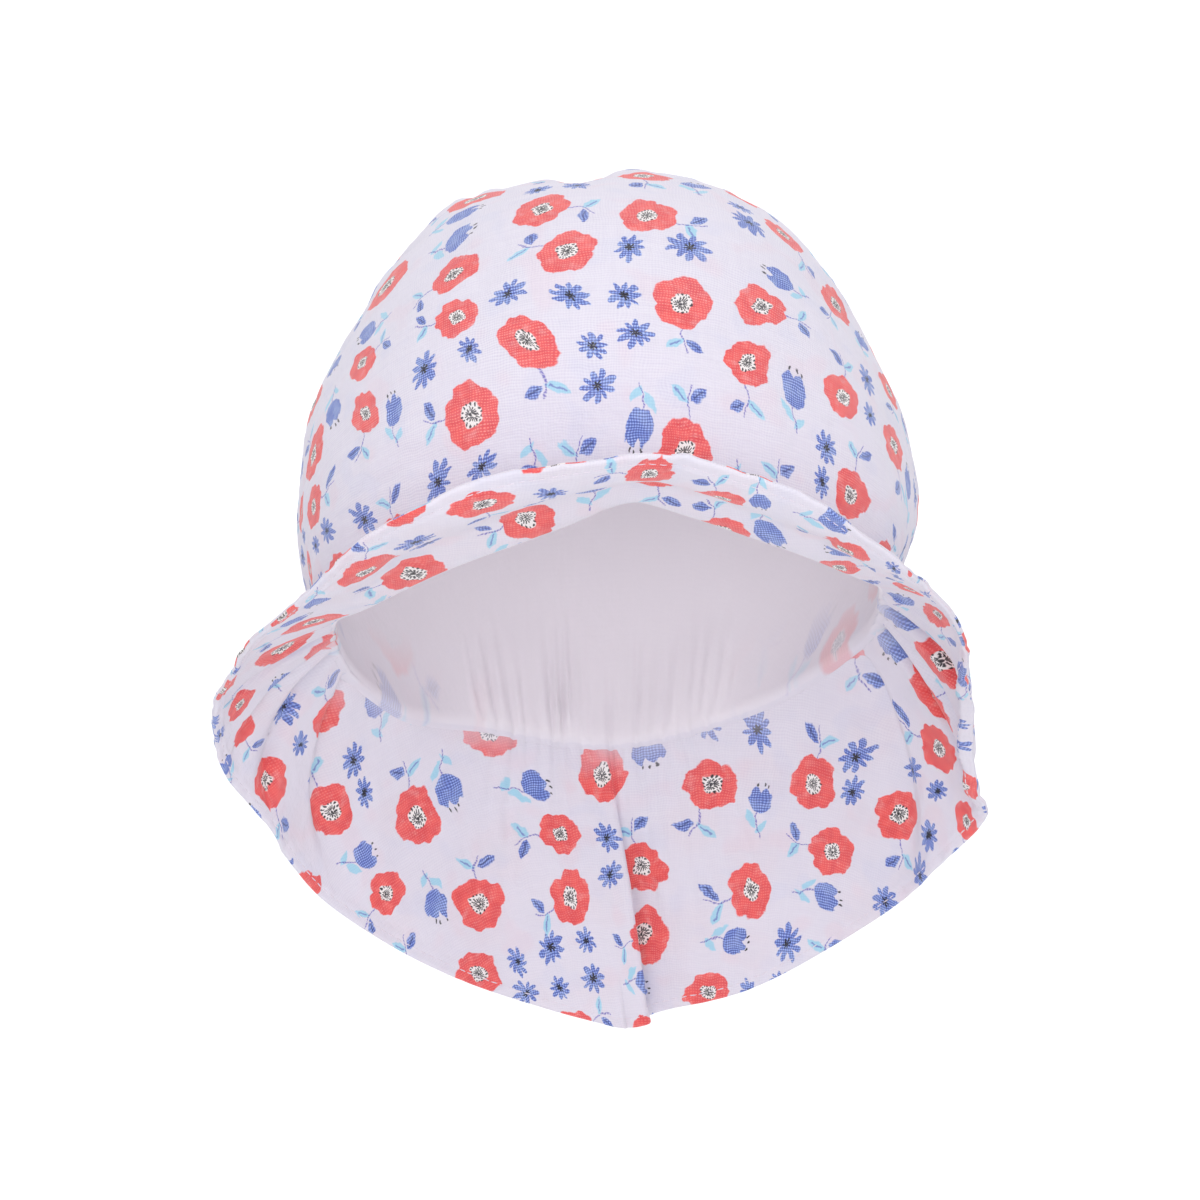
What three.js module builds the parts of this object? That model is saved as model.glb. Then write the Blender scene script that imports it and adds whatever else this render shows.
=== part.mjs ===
// A baby's muslin sun hat: a printed crown of two panels, a plain lining, and a soft brim with a neck flap.
// Millimetres. The front of the hat faces -Y and +Z is up, as worn.
// The origin is the middle of the head opening.
import * as THREE from 'three';

// Driving sizes
const HEART_HEIGHT = 28;      // height of the point that the crown's reach is measured from
const CROWN_WALL = 1.2;
const LINING_WALL = 1.0;
const BRIM_WALL = 1.5;
const HEM_WALL = 2.2;
const GAP = 0.4;              // air left between pieces that are sewn together
const LINING_GAP = 0.95;      // air between crown and lining at the rim
const FRONT_DROP = 0.75;      // how much lower the brim starts in front, where it leaves the crown squarely
const LINING_EASE = 1.2;      // how far the lining hangs clear of the crown above the rim
const SEAM_ANGLE = 97;        // where the seam over the head meets the rim, from the front
const SEAM_LEAN = 0.13;       // how far the seam leans back at the top, as a slope
const SIDE_SEAM_SHARE = 0.04; // share of the seam that stays straight at each side
const ROLL_HEIGHT = 1.7;      // the S-shaped roll of the front brim
const ROLL_ENDS = 75;         // degrees from the front where the roll has faded out
const DRAPE = 4;              // how far the flap bellies out between rim and hem
const HEM_SHARE = 0.93;       // share of the brim's width where the turned hem starts
const BENT_FROM = 0.55;       // share of the way down from which the crown bends to meet the rim
const LINING_JOINS = 0.93;    // share of the way down from which the lining closes in on the crown
const LINING_TOP = 0.03;      // share of the way down where the lining's top ring lies
const SQUARE_FROM = 130;      // degrees from the front where the brim starts to leave the crown squarely
const SQUARE_FULL = 80;       // degrees from the front where it does so fully
const ROLL_FULL = 20;         // degrees from the front within which the roll is full
const GATHER = { from: 158, to: 208, folds: 14, depth: 0.7, rise: 0.16 };
const FOLD = { angle: 180, near: 4.5, far: 2.5, spread: 10, sharp: 0.9, starts: 0.1, full: 0.55 };

// Crown's reach from its heart, by degrees down from straight up
const CROWN = [
  { down: 0, left: 80, right: 80, front: 80, back: 80 },
  { down: 15, left: 80, right: 81.3, front: 81, back: 81.5 },
  { down: 30, left: 80.8, right: 80.3, front: 82.5, back: 84 },
  { down: 45, left: 77.6, right: 76.4, front: 83.5, back: 86.5 },
  { down: 60, left: 75.6, right: 73.6, front: 82.5, back: 88.5 },
  { down: 75, left: 75.8, right: 74.8, front: 80, back: 89.5 },
  { down: 90, left: 75.3, right: 75.6, front: 77.5, back: 90 },
  { down: 105, left: 76.0, right: 73.2, front: 76.5, back: 91.5 },
  { down: 120, left: 74.5, right: 71, front: 76, back: 94 },
  { down: 135, left: 74, right: 71, front: 76, back: 97 },
];

// The rim, by degrees from the front towards +X: how far out and how high it lies
const RIM = [
  { angle: -151.8, out: 76.1, up: -27.6 },
  { angle: -135, out: 73.5, up: -25 },
  { angle: -122.8, out: 72.8, up: -18.6 },
  { angle: -90, out: 69.3, up: -2.2 },
  { angle: -55.9, out: 71.3, up: 3.6 },
  { angle: -25.2, out: 75.2, up: 15.3 },
  { angle: -8.3, out: 75.8, up: 22.8 },
  { angle: 3.5, out: 77.1, up: 28.6 },
  { angle: 11.9, out: 77.7, up: 26.2 },
  { angle: 29.6, out: 77.0, up: 19 },
  { angle: 56.7, out: 73.0, up: 10.7 },
  { angle: 90, out: 68.3, up: 6.3 },
  { angle: 122.4, out: 74.6, up: -7.1 },
  { angle: 151.5, out: 77.4, up: -23.6 },
  { angle: 178.8, out: 76.0, up: -32.6 },
];

// The hem, by the angle of the rim point that it hangs from
const HEM = [
  { angle: -176, x: 4.6, y: 95, z: -106.3 },
  { angle: -165, x: -19, y: 93, z: -100.5 },
  { angle: -150, x: -47.5, y: 80, z: -89.3 },
  { angle: -135, x: -68.2, y: 66, z: -75 },
  { angle: -120, x: -83.2, y: 50, z: -57.8 },
  { angle: -105, x: -94.6, y: 34, z: -42.2 },
  { angle: -90, x: -96.9, y: 14, z: -29 },
  { angle: -75, x: -93.4, y: -14, z: -17.6 },
  { angle: -60, x: -82.9, y: -52, z: -4.4 },
  { angle: -45, x: -69.6, y: -77, z: 6.4 },
  { angle: -30, x: -54.1, y: -95, z: 20 },
  { angle: -15, x: -29.3, y: -107, z: 30.7 },
  { angle: 0, x: 6.3, y: -112, z: 36.5 },
  { angle: 15, x: 26, y: -108, z: 33.8 },
  { angle: 30, x: 48.5, y: -98, z: 25.5 },
  { angle: 45, x: 65.5, y: -84, z: 13.6 },
  { angle: 60, x: 73.8, y: -67, z: 6.8 },
  { angle: 75, x: 83.2, y: -44, z: -3 },
  { angle: 90, x: 87, y: -10, z: -17.7 },
  { angle: 105, x: 89.2, y: 16, z: -31.5 },
  { angle: 112, x: 90.6, y: 30, z: -42.5 },
  { angle: 119, x: 94.6, y: 44, z: -50.2 },
  { angle: 135, x: 81.8, y: 64, z: -66.2 },
  { angle: 150, x: 62.6, y: 80, z: -80.9 },
  { angle: 165, x: 36.5, y: 92, z: -96.4 },
  { angle: 176, x: 13, y: 96, z: -102.6 },
];

// Dents and small pleats of the crown: degrees from the front, degrees down, and spans in degrees
const DENTS = [
  { angle: -110, down: 5.5, across: 3.6, along: 22, deep: 3.6 },
  { angle: -88, down: 26.5, across: 6, along: 9, deep: -1.4 },
  { angle: -88, down: 52, across: 4.5, along: 12, deep: 1.0 },
  { angle: 92, down: 22, across: 5, along: 10, deep: 0.9 },
];

// Waves of the hanging brim: degrees of the rim, span in degrees, and depth at the hem
const WAVES = [
  { angle: -130, span: 7, deep: -1.5 },
  { angle: -112, span: 8, deep: 2.5 },
  { angle: -150, span: 9, deep: 2.5 },
  { angle: 130, span: 8, deep: 2 },
  { angle: 152, span: 9, deep: -2 },
];

// Mesh spacing
const PANEL_ROWS = 12;
const LINING_ROWS = 10;
const BRIM_ROWS = 8;
const ROUND_STEP = 6;
const GATHER_STEP = 1.3;
const PEAK = { from: -14, to: 10, step: 2 };
const FOLD_CLOSE = [3.2, 1.5, 0.5];

const RAD = Math.PI / 180;
const MEAN_RADIUS = 75;       // of the rim
const HEART = new THREE.Vector3(0, 0, HEART_HEIGHT);
const UP = new THREE.Vector3(0, 0, 1);

const clamp01 = (t) => Math.min(1, Math.max(0, t));
const smooth = (a, b, t) => {
  const s = clamp01((t - a) / (b - a));
  return s * s * (3 - 2 * s);
};
const turned = (angle) => ((angle % 360) + 540) % 360 - 180;

// Smooth curve through the rows of a table, round and round when period is given
function along(rows, key, column, at, period = 0) {
  const n = rows.length;
  const row = (k) => (period ? rows[(k + n) % n] : rows[Math.min(n - 1, Math.max(0, k))]);
  const place = (k) => row(k)[key] + (period ? Math.floor(k / n) * period : 0);
  let k = 0;
  if (period && at < rows[0][key]) at += period;
  while (k < n - 1 - (period ? 0 : 1) && at >= place(k + 1)) k += 1;
  const [a, b] = [place(k), place(k + 1)];
  const t = clamp01((at - a) / (b - a));
  const slope = (i) => {
    const span = place(i + 1) - place(i - 1);
    return span > 0 ? (row(i + 1)[column] - row(i - 1)[column]) / span : 0;
  };
  const [p, q] = [row(k)[column], row(k + 1)[column]];
  const [m, w] = [slope(k) * (b - a), slope(k + 1) * (b - a)];
  const [t2, t3] = [t * t, t * t * t];
  return (2 * t3 - 3 * t2 + 1) * p + (t3 - 2 * t2 + t) * m + (3 * t2 - 2 * t3) * q + (t3 - t2) * w;
}

// Fine upright folds where the elastic draws the back of the rim in
function gathers(angle) {
  const at = (angle + 360) % 360;
  const share = (at - GATHER.from) / (GATHER.to - GATHER.from);
  if (share <= 0 || share >= 1) return 0;
  const fade = smooth(0, 0.12, share) * smooth(1, 0.88, share);
  return GATHER.depth * fade * Math.sin(2 * Math.PI * GATHER.folds * share);
}

function rimPoint(angle) {
  const out = along(RIM, 'angle', 'out', angle, 360);
  const up = along(RIM, 'angle', 'up', angle, 360);
  return new THREE.Vector3(out * Math.sin(angle * RAD), -out * Math.cos(angle * RAD), up);
}

const directionTo = (point) => point.clone().sub(HEART).normalize();

function between(a, b, t) {
  const turn = Math.acos(Math.min(1, Math.max(-1, a.dot(b))));
  const whole = Math.sin(turn);
  return a.clone().multiplyScalar(Math.sin((1 - t) * turn) / whole)
    .addScaledVector(b, Math.sin(t * turn) / whole)
    .normalize();
}

// Reach of the crown's outer face in one direction from the heart
function crownReach(direction) {
  const flat = Math.hypot(direction.x, direction.y);
  const down = Math.atan2(flat, direction.z) / RAD;
  const angle = Math.atan2(direction.x, -direction.y) / RAD;
  const side = direction.x < 0 ? 'left' : 'right';
  const face = direction.y < 0 ? 'front' : 'back';
  const [s, c] = flat > 0 ? [direction.x / flat, direction.y / flat] : [0, 1];
  const across = s / along(CROWN, 'down', side, down);
  const length = c / along(CROWN, 'down', face, down);
  let reach = 1 / Math.hypot(across, length);
  const rim = rimPoint(angle).sub(HEART);
  const rimDown = Math.atan2(Math.hypot(rim.x, rim.y), rim.z) / RAD;
  const share = down / rimDown;
  if (share > BENT_FROM) {
    const acrossRim = s / along(CROWN, 'down', side, rimDown);
    const lengthRim = c / along(CROWN, 'down', face, rimDown);
    const wanted = rim.length() * Math.hypot(acrossRim, lengthRim);
    reach *= 1 + (wanted - 1) * smooth(BENT_FROM, 1, share);
  }
  for (const dent of DENTS) {
    const middle = new THREE.Vector3(
      Math.sin(dent.down * RAD) * Math.sin(dent.angle * RAD),
      -Math.sin(dent.down * RAD) * Math.cos(dent.angle * RAD),
      Math.cos(dent.down * RAD),
    );
    const dx = Math.hypot(direction.x - middle.x, direction.z - middle.z) / RAD;
    const dy = (direction.y - middle.y) / RAD;
    reach -= dent.deep * Math.exp(-((dx / dent.across) ** 2) - (dy / dent.along) ** 2);
  }
  return reach + gathers(angle) * smooth(1 - GATHER.rise, 1, share);
}

const crownPoint = (direction, inset) => HEART.clone()
  .addScaledVector(direction, crownReach(direction) - inset);

// Direction of the seam over the head, from the rim at one side (share 0) to the other (share 1)
function seamDirection(share, shift) {
  const side = share < 0.5 ? -1 : 1;
  const end = directionTo(rimPoint(side * (SEAM_ANGLE + shift)));
  const top = new THREE.Vector3(0, SEAM_LEAN + shift * RAD, 1).normalize();
  return between(top, end, Math.abs(share - 0.5) * 2);
}

// A closed wall between two grids of points; the first grid is the outer face
function wall(columns, rows, outer, inner, round) {
  const points = [];
  const index = [];
  const across = round ? columns : columns + 1;
  for (const face of [outer, inner]) {
    for (let i = 0; i < across; i += 1) {
      for (let j = 0; j <= rows; j += 1) {
        const p = face(i, j);
        points.push(p.x, p.y, p.z);
      }
    }
  }
  const at = (face, i, j) => face * across * (rows + 1) + (i % across) * (rows + 1) + j;
  const quad = (a, b, c, d) => index.push(a, b, c, a, c, d);
  for (let i = 0; i < columns; i += 1) {
    for (let j = 0; j < rows; j += 1) {
      quad(at(0, i, j), at(0, i, j + 1), at(0, i + 1, j + 1), at(0, i + 1, j));
      quad(at(1, i, j), at(1, i + 1, j), at(1, i + 1, j + 1), at(1, i, j + 1));
    }
    quad(at(0, i, 0), at(0, i + 1, 0), at(1, i + 1, 0), at(1, i, 0));
    quad(at(0, i, rows), at(1, i, rows), at(1, i + 1, rows), at(0, i + 1, rows));
  }
  if (!round) {
    for (let j = 0; j < rows; j += 1) {
      quad(at(0, 0, j), at(1, 0, j), at(1, 0, j + 1), at(0, 0, j + 1));
      quad(at(0, columns, j), at(0, columns, j + 1), at(1, columns, j + 1), at(1, columns, j));
    }
  }
  const geometry = new THREE.BufferGeometry();
  geometry.setAttribute('position', new THREE.Float32BufferAttribute(points, 3));
  geometry.setIndex(index);
  geometry.computeVertexNormals();
  return geometry;
}

// One panel of the crown, in columns that run from the seam over the head down to the rim
function crownPanel(angles, shift, seamFrom, seamTo) {
  const columns = angles.length - 1;
  const place = (inset) => (i, j) => {
    const t = (angles[i] - angles[0]) / (angles[columns] - angles[0]);
    const rim = directionTo(rimPoint(turned(angles[i])));
    const seamAt = SIDE_SEAM_SHARE + (1 - 2 * SIDE_SEAM_SHARE) * (seamFrom + (seamTo - seamFrom) * t);
    return crownPoint(between(seamDirection(seamAt, shift), rim, j / PANEL_ROWS), inset);
  };
  return wall(columns, PANEL_ROWS, place(0), place(CROWN_WALL), false);
}

const spaced = (from, to, step) => {
  const n = Math.max(1, Math.round((to - from) / step));
  return Array.from({ length: n + 1 }, (_, k) => from + (to - from) * (k / n));
};

// Columns round the rim: even ones, closer together over the gathers or at the fold
const gatherAngles = spaced(GATHER.from, GATHER.to, GATHER_STEP);
const evenAngles = spaced(GATHER.to - 360, GATHER.from, ROUND_STEP).slice(0, -1);
const foldAngles = [
  ...spaced(GATHER.from, FOLD.angle - FOLD_CLOSE[0], GATHER_STEP * 2).slice(0, -1),
  ...FOLD_CLOSE.map((d) => FOLD.angle - d),
  ...FOLD_CLOSE.map((d) => FOLD.angle + d).reverse(),
  ...spaced(FOLD.angle + FOLD_CLOSE[0], GATHER.to, GATHER_STEP * 2).slice(1, -1),
];

function liningGeometry() {
  const angles = [...evenAngles, ...gatherAngles.slice(0, -1)];
  const place = (inset) => (i, j) => {
    const rim = directionTo(rimPoint(turned(angles[i])));
    const share = LINING_TOP + (1 - LINING_TOP) * (j / LINING_ROWS);
    return crownPoint(between(UP, rim, share), inset + LINING_EASE * smooth(1, LINING_JOINS, share));
  };
  const outside = CROWN_WALL + LINING_GAP;
  return domeWall(angles.length, LINING_ROWS, place(outside), place(outside + LINING_WALL));
}

// A closed wall like a bowl: round columns that meet in one point at the top of each face
function domeWall(columns, rows, outer, inner) {
  const sides = wall(columns, rows, outer, inner, true);
  const points = Array.from(sides.getAttribute('position').array);
  const old = Array.from(sides.getIndex().array);
  const per = rows + 1;
  const isTop = (v) => v % per === 0;
  const index = [];
  for (let k = 0; k < old.length; k += 3) {
    const tri = old.slice(k, k + 3);
    if (!tri.every(isTop)) index.push(...tri);
  }
  for (const [face, place] of [[0, outer], [1, inner]]) {
    const middle = new THREE.Vector3();
    for (let i = 0; i < columns; i += 1) middle.add(place(i, 0));
    const tip = points.length / 3;
    points.push(middle.x / columns, middle.y / columns, middle.z / columns);
    for (let i = 0; i < columns; i += 1) {
      const a = face * columns * per + i * per;
      const b = face * columns * per + ((i + 1) % columns) * per;
      if (face === 0) index.push(tip, a, b);
      else index.push(tip, b, a);
    }
  }
  const geometry = new THREE.BufferGeometry();
  geometry.setAttribute('position', new THREE.Float32BufferAttribute(points, 3));
  geometry.setIndex(index);
  geometry.computeVertexNormals();
  return geometry;
}

// Middle of the brim's cloth: share 0 at the rim, 1 at the hem
function brimMiddle(angle, share) {
  const rimWay = directionTo(rimPoint(turned(angle)));
  const off = Math.abs(turned(angle));
  const frontness = smooth(ROLL_ENDS, ROLL_FULL, off);
  const squareness = smooth(SQUARE_FROM, SQUARE_FULL, off);
  const edge = crownPoint(rimWay, CROWN_WALL / 2);
  const above = crownPoint(between(rimWay, UP, 0.03), CROWN_WALL / 2);
  const downward = edge.clone().sub(above).normalize();
  edge.addScaledVector(downward, GAP + BRIM_WALL / 2 + FRONT_DROP * squareness);
  const hem = new THREE.Vector3(
    along(HEM, 'angle', 'x', turned(angle), 360),
    along(HEM, 'angle', 'y', turned(angle), 360),
    along(HEM, 'angle', 'z', turned(angle), 360),
  );
  const point = edge.lerp(hem, share);
  point.z += ROLL_HEIGHT * frontness * Math.sin(2 * Math.PI * share) * smooth(0, 0.3, share);
  const outward = new THREE.Vector3(Math.sin(angle * RAD), -Math.cos(angle * RAD), 0);
  const belly = DRAPE * (1 - frontness) * Math.sin(Math.PI * share);
  let push = belly;
  for (const wave of WAVES) {
    const away = turned(angle - wave.angle) / wave.span;
    push -= wave.deep * Math.exp(-away * away) * share ** 1.5;
  }
  point.addScaledVector(outward, push);
  const past = turned(angle - FOLD.angle);
  const fade = Math.exp(-Math.abs(past) / FOLD.spread);
  const side = Math.tanh(past / FOLD.sharp);
  const depth = side < 0 ? -FOLD.far : -FOLD.near;
  point.y += depth * side * fade * smooth(FOLD.starts, FOLD.full, share);
  return point;
}

function brimGeometry() {
  const angles = [...evenAngles, ...foldAngles];
  const place = (side) => (i, j) => {
    const share = j / BRIM_ROWS;
    const angle = angles[i];
    const middle = brimMiddle(angle, share);
    const across = brimMiddle(angle + 1, share).sub(brimMiddle(angle - 1, share));
    const down = brimMiddle(angle, Math.min(1, share + 0.03)).sub(brimMiddle(angle, Math.max(0, share - 0.03)));
    const normal = down.cross(across).normalize();
    const thick = share > HEM_SHARE ? HEM_WALL : BRIM_WALL;
    return middle.addScaledVector(normal, side * thick / 2);
  };
  return wall(angles.length, BRIM_ROWS, place(1), place(-1), true);
}

function piece(name, geometry, colour) {
  const material = new THREE.MeshStandardMaterial({ name: `${name}_cloth`, color: colour, roughness: 0.95 });
  const mesh = new THREE.Mesh(geometry, material);
  mesh.name = name;
  return mesh;
}

const hat = new THREE.Group();
hat.name = 'baby_hat';
const seamShift = (GAP / 2 / MEAN_RADIUS) / RAD;
const frontAngles = [
  ...spaced(-SEAM_ANGLE + seamShift, PEAK.from, ROUND_STEP).slice(0, -1),
  ...spaced(PEAK.from, PEAK.to, PEAK.step),
  ...spaced(PEAK.to, SEAM_ANGLE - seamShift, ROUND_STEP).slice(1),
];
const backAngles = [
  ...spaced(SEAM_ANGLE + seamShift, GATHER.from, ROUND_STEP).slice(0, -1),
  ...gatherAngles,
  ...spaced(GATHER.to, 360 - SEAM_ANGLE - seamShift, ROUND_STEP).slice(1),
];
hat.add(piece('crown_front', crownPanel(frontAngles, -seamShift, 0, 1), 0xeee6f2));
hat.add(piece('crown_back', crownPanel(backAngles, seamShift, 1, 0), 0xeee6f2));
hat.add(piece('crown_lining', liningGeometry(), 0xe4dfe8));
hat.add(piece('brim', brimGeometry(), 0xeee6f2));

export default hat;
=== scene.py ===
# %% [markdown]
# # A baby's muslin sun hat
#
# This lesson dresses a finished frame of a baby's sun hat in real-looking cloth. The hat is thin woven
# cotton with a small flower print: a rounded crown of two panels, a plain white lining that an elastic
# gathers at the back, and a soft brim that grows into a neck flap. Every cell makes one thing and prints
# what it made or measured.

# %% [markdown]
# ## The frame
#
# The frame holds the hat's exact size. Everything below is placed in its coordinates: the front of the
# hat faces -Y, +Z is up as worn, and the origin is the middle of the head opening.

# %%
# Load the frame and keep its parts by name
import bpy
import numpy as np
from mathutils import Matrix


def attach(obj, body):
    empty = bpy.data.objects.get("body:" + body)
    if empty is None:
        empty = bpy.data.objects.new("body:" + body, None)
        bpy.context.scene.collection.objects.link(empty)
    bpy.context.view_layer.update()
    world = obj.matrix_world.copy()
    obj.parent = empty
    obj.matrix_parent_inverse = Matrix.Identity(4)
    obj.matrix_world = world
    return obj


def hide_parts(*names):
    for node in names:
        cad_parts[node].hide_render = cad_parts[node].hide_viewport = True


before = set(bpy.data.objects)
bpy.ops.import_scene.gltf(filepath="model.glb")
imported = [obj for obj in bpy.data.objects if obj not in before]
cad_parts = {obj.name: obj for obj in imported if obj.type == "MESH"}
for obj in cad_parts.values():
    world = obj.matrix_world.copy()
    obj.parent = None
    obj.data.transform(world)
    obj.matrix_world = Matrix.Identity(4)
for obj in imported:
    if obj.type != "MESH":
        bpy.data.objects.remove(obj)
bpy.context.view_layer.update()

MM = 0.001
print("nodes:", sorted(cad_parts))

# %% [markdown]
# ## The sizes that drive the shape
#
# A hat's shape is easiest to say as a few tables. The crown is described by its reach from a point in
# the middle of the head, the rim by how far out and how high it lies at each angle, and the hem by the
# points it passes through. Smooth curves through the rows give everything in between, so a change of
# one number moves the cloth gently instead of making a corner.

# %%
# Sizes in millimetres and degrees
HEART_HEIGHT = 28.0
CROWN_WALL = 1.0
LINING_GAP = 0.95
LINING_WALL = 0.8
LINING_EASE = 1.2
BRIM_WALL = 1.3
BRIM_INSET = 2.1
GAP = 0.05
FRONT_DROP = 0.95
SEAM_ANGLE = 97.0
SEAM_LEAN = 0.13
SIDE_SEAM_SHARE = 0.04
ROLL_HEIGHT = 2.3
ROLL_ENDS = 75.0
DRAPE = 4.0
STITCH_LENGTH = 2.5
HEM_STITCH_IN = 2.7
RIM_RADIUS = 75.0
PANEL_RADIUS = 80.0
SEAM_LENGTH = 250.0
SEAM_GROOVE = 0.75
RIM_GROOVE = 0.35
CROWN_SINK = 0.25
SEAM_CLEAR = 0.15


def table(columns, *rows):
    """The rows of a table, whose columns are named once above them."""
    return [dict(zip(columns.split(), row)) for row in rows]


CROWN = table(
    "down left right front back",
    (0, 80, 80, 80, 80),
    (15, 80, 81.3, 81, 81.5),
    (30, 80.8, 80.3, 82.5, 84),
    (45, 77.6, 76.4, 83.5, 86.5),
    (60, 75.6, 73.6, 82.5, 88.5),
    (75, 75.8, 74.8, 80, 89.5),
    (90, 75.3, 75.6, 77.5, 90),
    (105, 76.0, 73.2, 76.5, 91.5),
    (120, 74.5, 71, 76, 94),
    (135, 74, 71, 76, 97),
)

RIM = table(
    "angle out up",
    (-151.8, 76.1, -27.6),
    (-135, 73.5, -25),
    (-122.8, 72.8, -18.6),
    (-90, 69.3, -2.2),
    (-55.9, 71.3, 3.6),
    (-25.2, 75.2, 15.3),
    (-8.3, 75.8, 22.8),
    (3.5, 77.1, 28.6),
    (11.9, 77.7, 26.2),
    (29.6, 77.0, 19),
    (56.7, 73.0, 10.7),
    (90, 68.3, 6.3),
    (122.4, 74.6, -7.1),
    (151.5, 77.4, -23.6),
    (178.8, 76.0, -32.6),
)

HEM = table(
    "angle x y z",
    (-176, 4.6, 95, -106.3),
    (-165, -19, 93, -100.5),
    (-150, -47.5, 80, -89.3),
    (-135, -68.2, 66, -75),
    (-120, -83.2, 50, -57.8),
    (-105, -94.6, 34, -42.2),
    (-90, -96.9, 14, -29),
    (-75, -93.4, -14, -17.6),
    (-60, -82.9, -52, -4.4),
    (-45, -69.6, -77, 6.4),
    (-30, -54.1, -95, 20),
    (-15, -29.3, -107, 30.7),
    (0, 6.3, -112, 36.5),
    (15, 26, -108, 33.8),
    (30, 48.5, -98, 25.5),
    (45, 65.5, -84, 13.6),
    (60, 73.8, -67, 6.8),
    (75, 83.2, -44, -3),
    (90, 87, -10, -17.7),
    (105, 89.2, 16, -31.5),
    (112, 90.6, 30, -42.5),
    (119, 94.6, 44, -50.2),
    (135, 81.8, 64, -66.2),
    (150, 62.6, 80, -80.9),
    (165, 36.5, 92, -96.4),
    (176, 13, 96, -102.6),
)

DENTS = table(
    "angle down across along deep",
    (-110, 5.5, 3.6, 22, 3.6),
    (-88, 26.5, 6, 9, -1.4),
    (-88, 52, 4.5, 12, 1.0),
    (92, 22, 5, 10, 0.9),
)

WAVES = table(
    "angle span deep",
    (-130, 7, -1.5),
    (-112, 8, 2.5),
    (-150, 9, 2.5),
    (130, 8, 2),
    (152, 9, -2),
)

FOLD = dict(
    angle=180.0, near=4.5, far=2.5, spread=10.0, sharp=0.4, over=2.4, tuck=1.1, starts=0.1, full=0.55)

HEART = np.array([0.0, 0.0, HEART_HEIGHT])
print("tables:", len(CROWN), "crown rows,", len(RIM), "rim rows,", len(HEM), "hem rows")

# %% [markdown]
# ## Small tools for smooth shapes
#
# `along` draws a smooth curve through a table's rows. `noise` is soft random height on a grid, the same
# on every run because its seed is fixed. `creased` folds that noise over at zero, which gives the thin
# valleys and ridges that crumpled muslin has.

# %%
# Curves, easing and seeded noise
def smooth(a, b, t):
    """0 before a, 1 after b, and an S-shaped rise between them."""
    s = np.clip((np.asarray(t, float) - a) / (b - a), 0.0, 1.0)
    return s * s * (3 - 2 * s)


def along(rows, key, column, at, period=0.0):
    """Smooth curve through one column of a table; it closes on itself if period is given."""
    keys = np.array([row[key] for row in rows], float)
    values = np.array([row[column] for row in rows], float)
    at = np.asarray(at, float)
    if period:
        keys = np.concatenate([keys[-2:] - period, keys, keys[:2] + period])
        values = np.concatenate([values[-2:], values, values[:2]])
        at = (at - keys[2]) % period + keys[2]
    slopes = np.gradient(values, keys)
    slopes[1:-1] = (values[2:] - values[:-2]) / (keys[2:] - keys[:-2])
    k = np.clip(np.searchsorted(keys, at, side="right") - 1, 0, len(keys) - 2)
    a, b = keys[k], keys[k + 1]
    t = np.clip((at - a) / (b - a), 0, 1)
    t2, t3 = t * t, t * t * t
    return (
        (2 * t3 - 3 * t2 + 1) * values[k]
        + (t3 - 2 * t2 + t) * slopes[k] * (b - a)
        + (3 * t2 - 2 * t3) * values[k + 1]
        + (t3 - t2) * slopes[k + 1] * (b - a)
    )


def noise(x, y, size, seed):
    """Soft random height from -1 to 1, whose bumps are about size wide."""
    heights = np.random.default_rng(seed).uniform(-1, 1, (64, 64))
    x, y = np.broadcast_arrays(np.asarray(x, float) / size, np.asarray(y, float) / size)
    i, j = np.floor(x).astype(int), np.floor(y).astype(int)
    u, v = x - i, y - j
    u, v = u * u * u * (u * (6 * u - 15) + 10), v * v * v * (v * (6 * v - 15) + 10)
    at = lambda di, dj: heights[(i + di) % 64, (j + dj) % 64]
    low = at(0, 0) * (1 - u) + at(1, 0) * u
    high = at(0, 1) * (1 - u) + at(1, 1) * u
    return low * (1 - v) + high * v


def creased(x, y, size, seed):
    """Crumpled height from 0 to 1: flat facets with thin valleys between them."""
    return np.sqrt(np.abs(noise(x, y, size, seed)) + 0.004)


def bell(distance, width):
    """A smooth bump of height 1 that fades with distance over a width."""
    return np.exp(-((distance / width) ** 2))


def unit(v):
    """Vectors brought to length 1."""
    return v / np.maximum(np.linalg.norm(v, axis=-1, keepdims=True), 1e-12)


def distance_along(points, axis):
    """Distance travelled along lines of points, from 0 at the start of each line."""
    steps = np.linalg.norm(np.diff(points, axis=axis), axis=-1)
    return np.concatenate([0 * steps.take([0], axis), np.cumsum(steps, axis)], axis)


def between(a, b, t):
    """The direction a share t of the way from direction a to direction b."""
    turn = np.arccos(np.clip((a * b).sum(-1, keepdims=True), -1, 1))
    whole = np.maximum(np.sin(turn), 1e-9)
    return unit(a * np.sin((1 - t) * turn) / whole + b * np.sin(t * turn) / whole)


print("noise is repeatable:", round(float(noise(3.3, 4.4, 2.0, 7)), 4))

# %% [markdown]
# ## The crown's surface
#
# The crown is a rounded bowl of cloth. For any direction from the middle of the head, `crown_reach`
# gives how far away the cloth is: first from the table, then bent so that its lower edge lands exactly
# on the rim, then with a few dents where the cloth sinks in. At the back of the rim a hidden elastic
# draws the cloth together, so upright folds run up from it and fade out.

# %%
# Rim, crown and gathers as functions
GATHER_FROM, GATHER_TO, GATHER_FOLDS = 157.0, 209.0, 19


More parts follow.
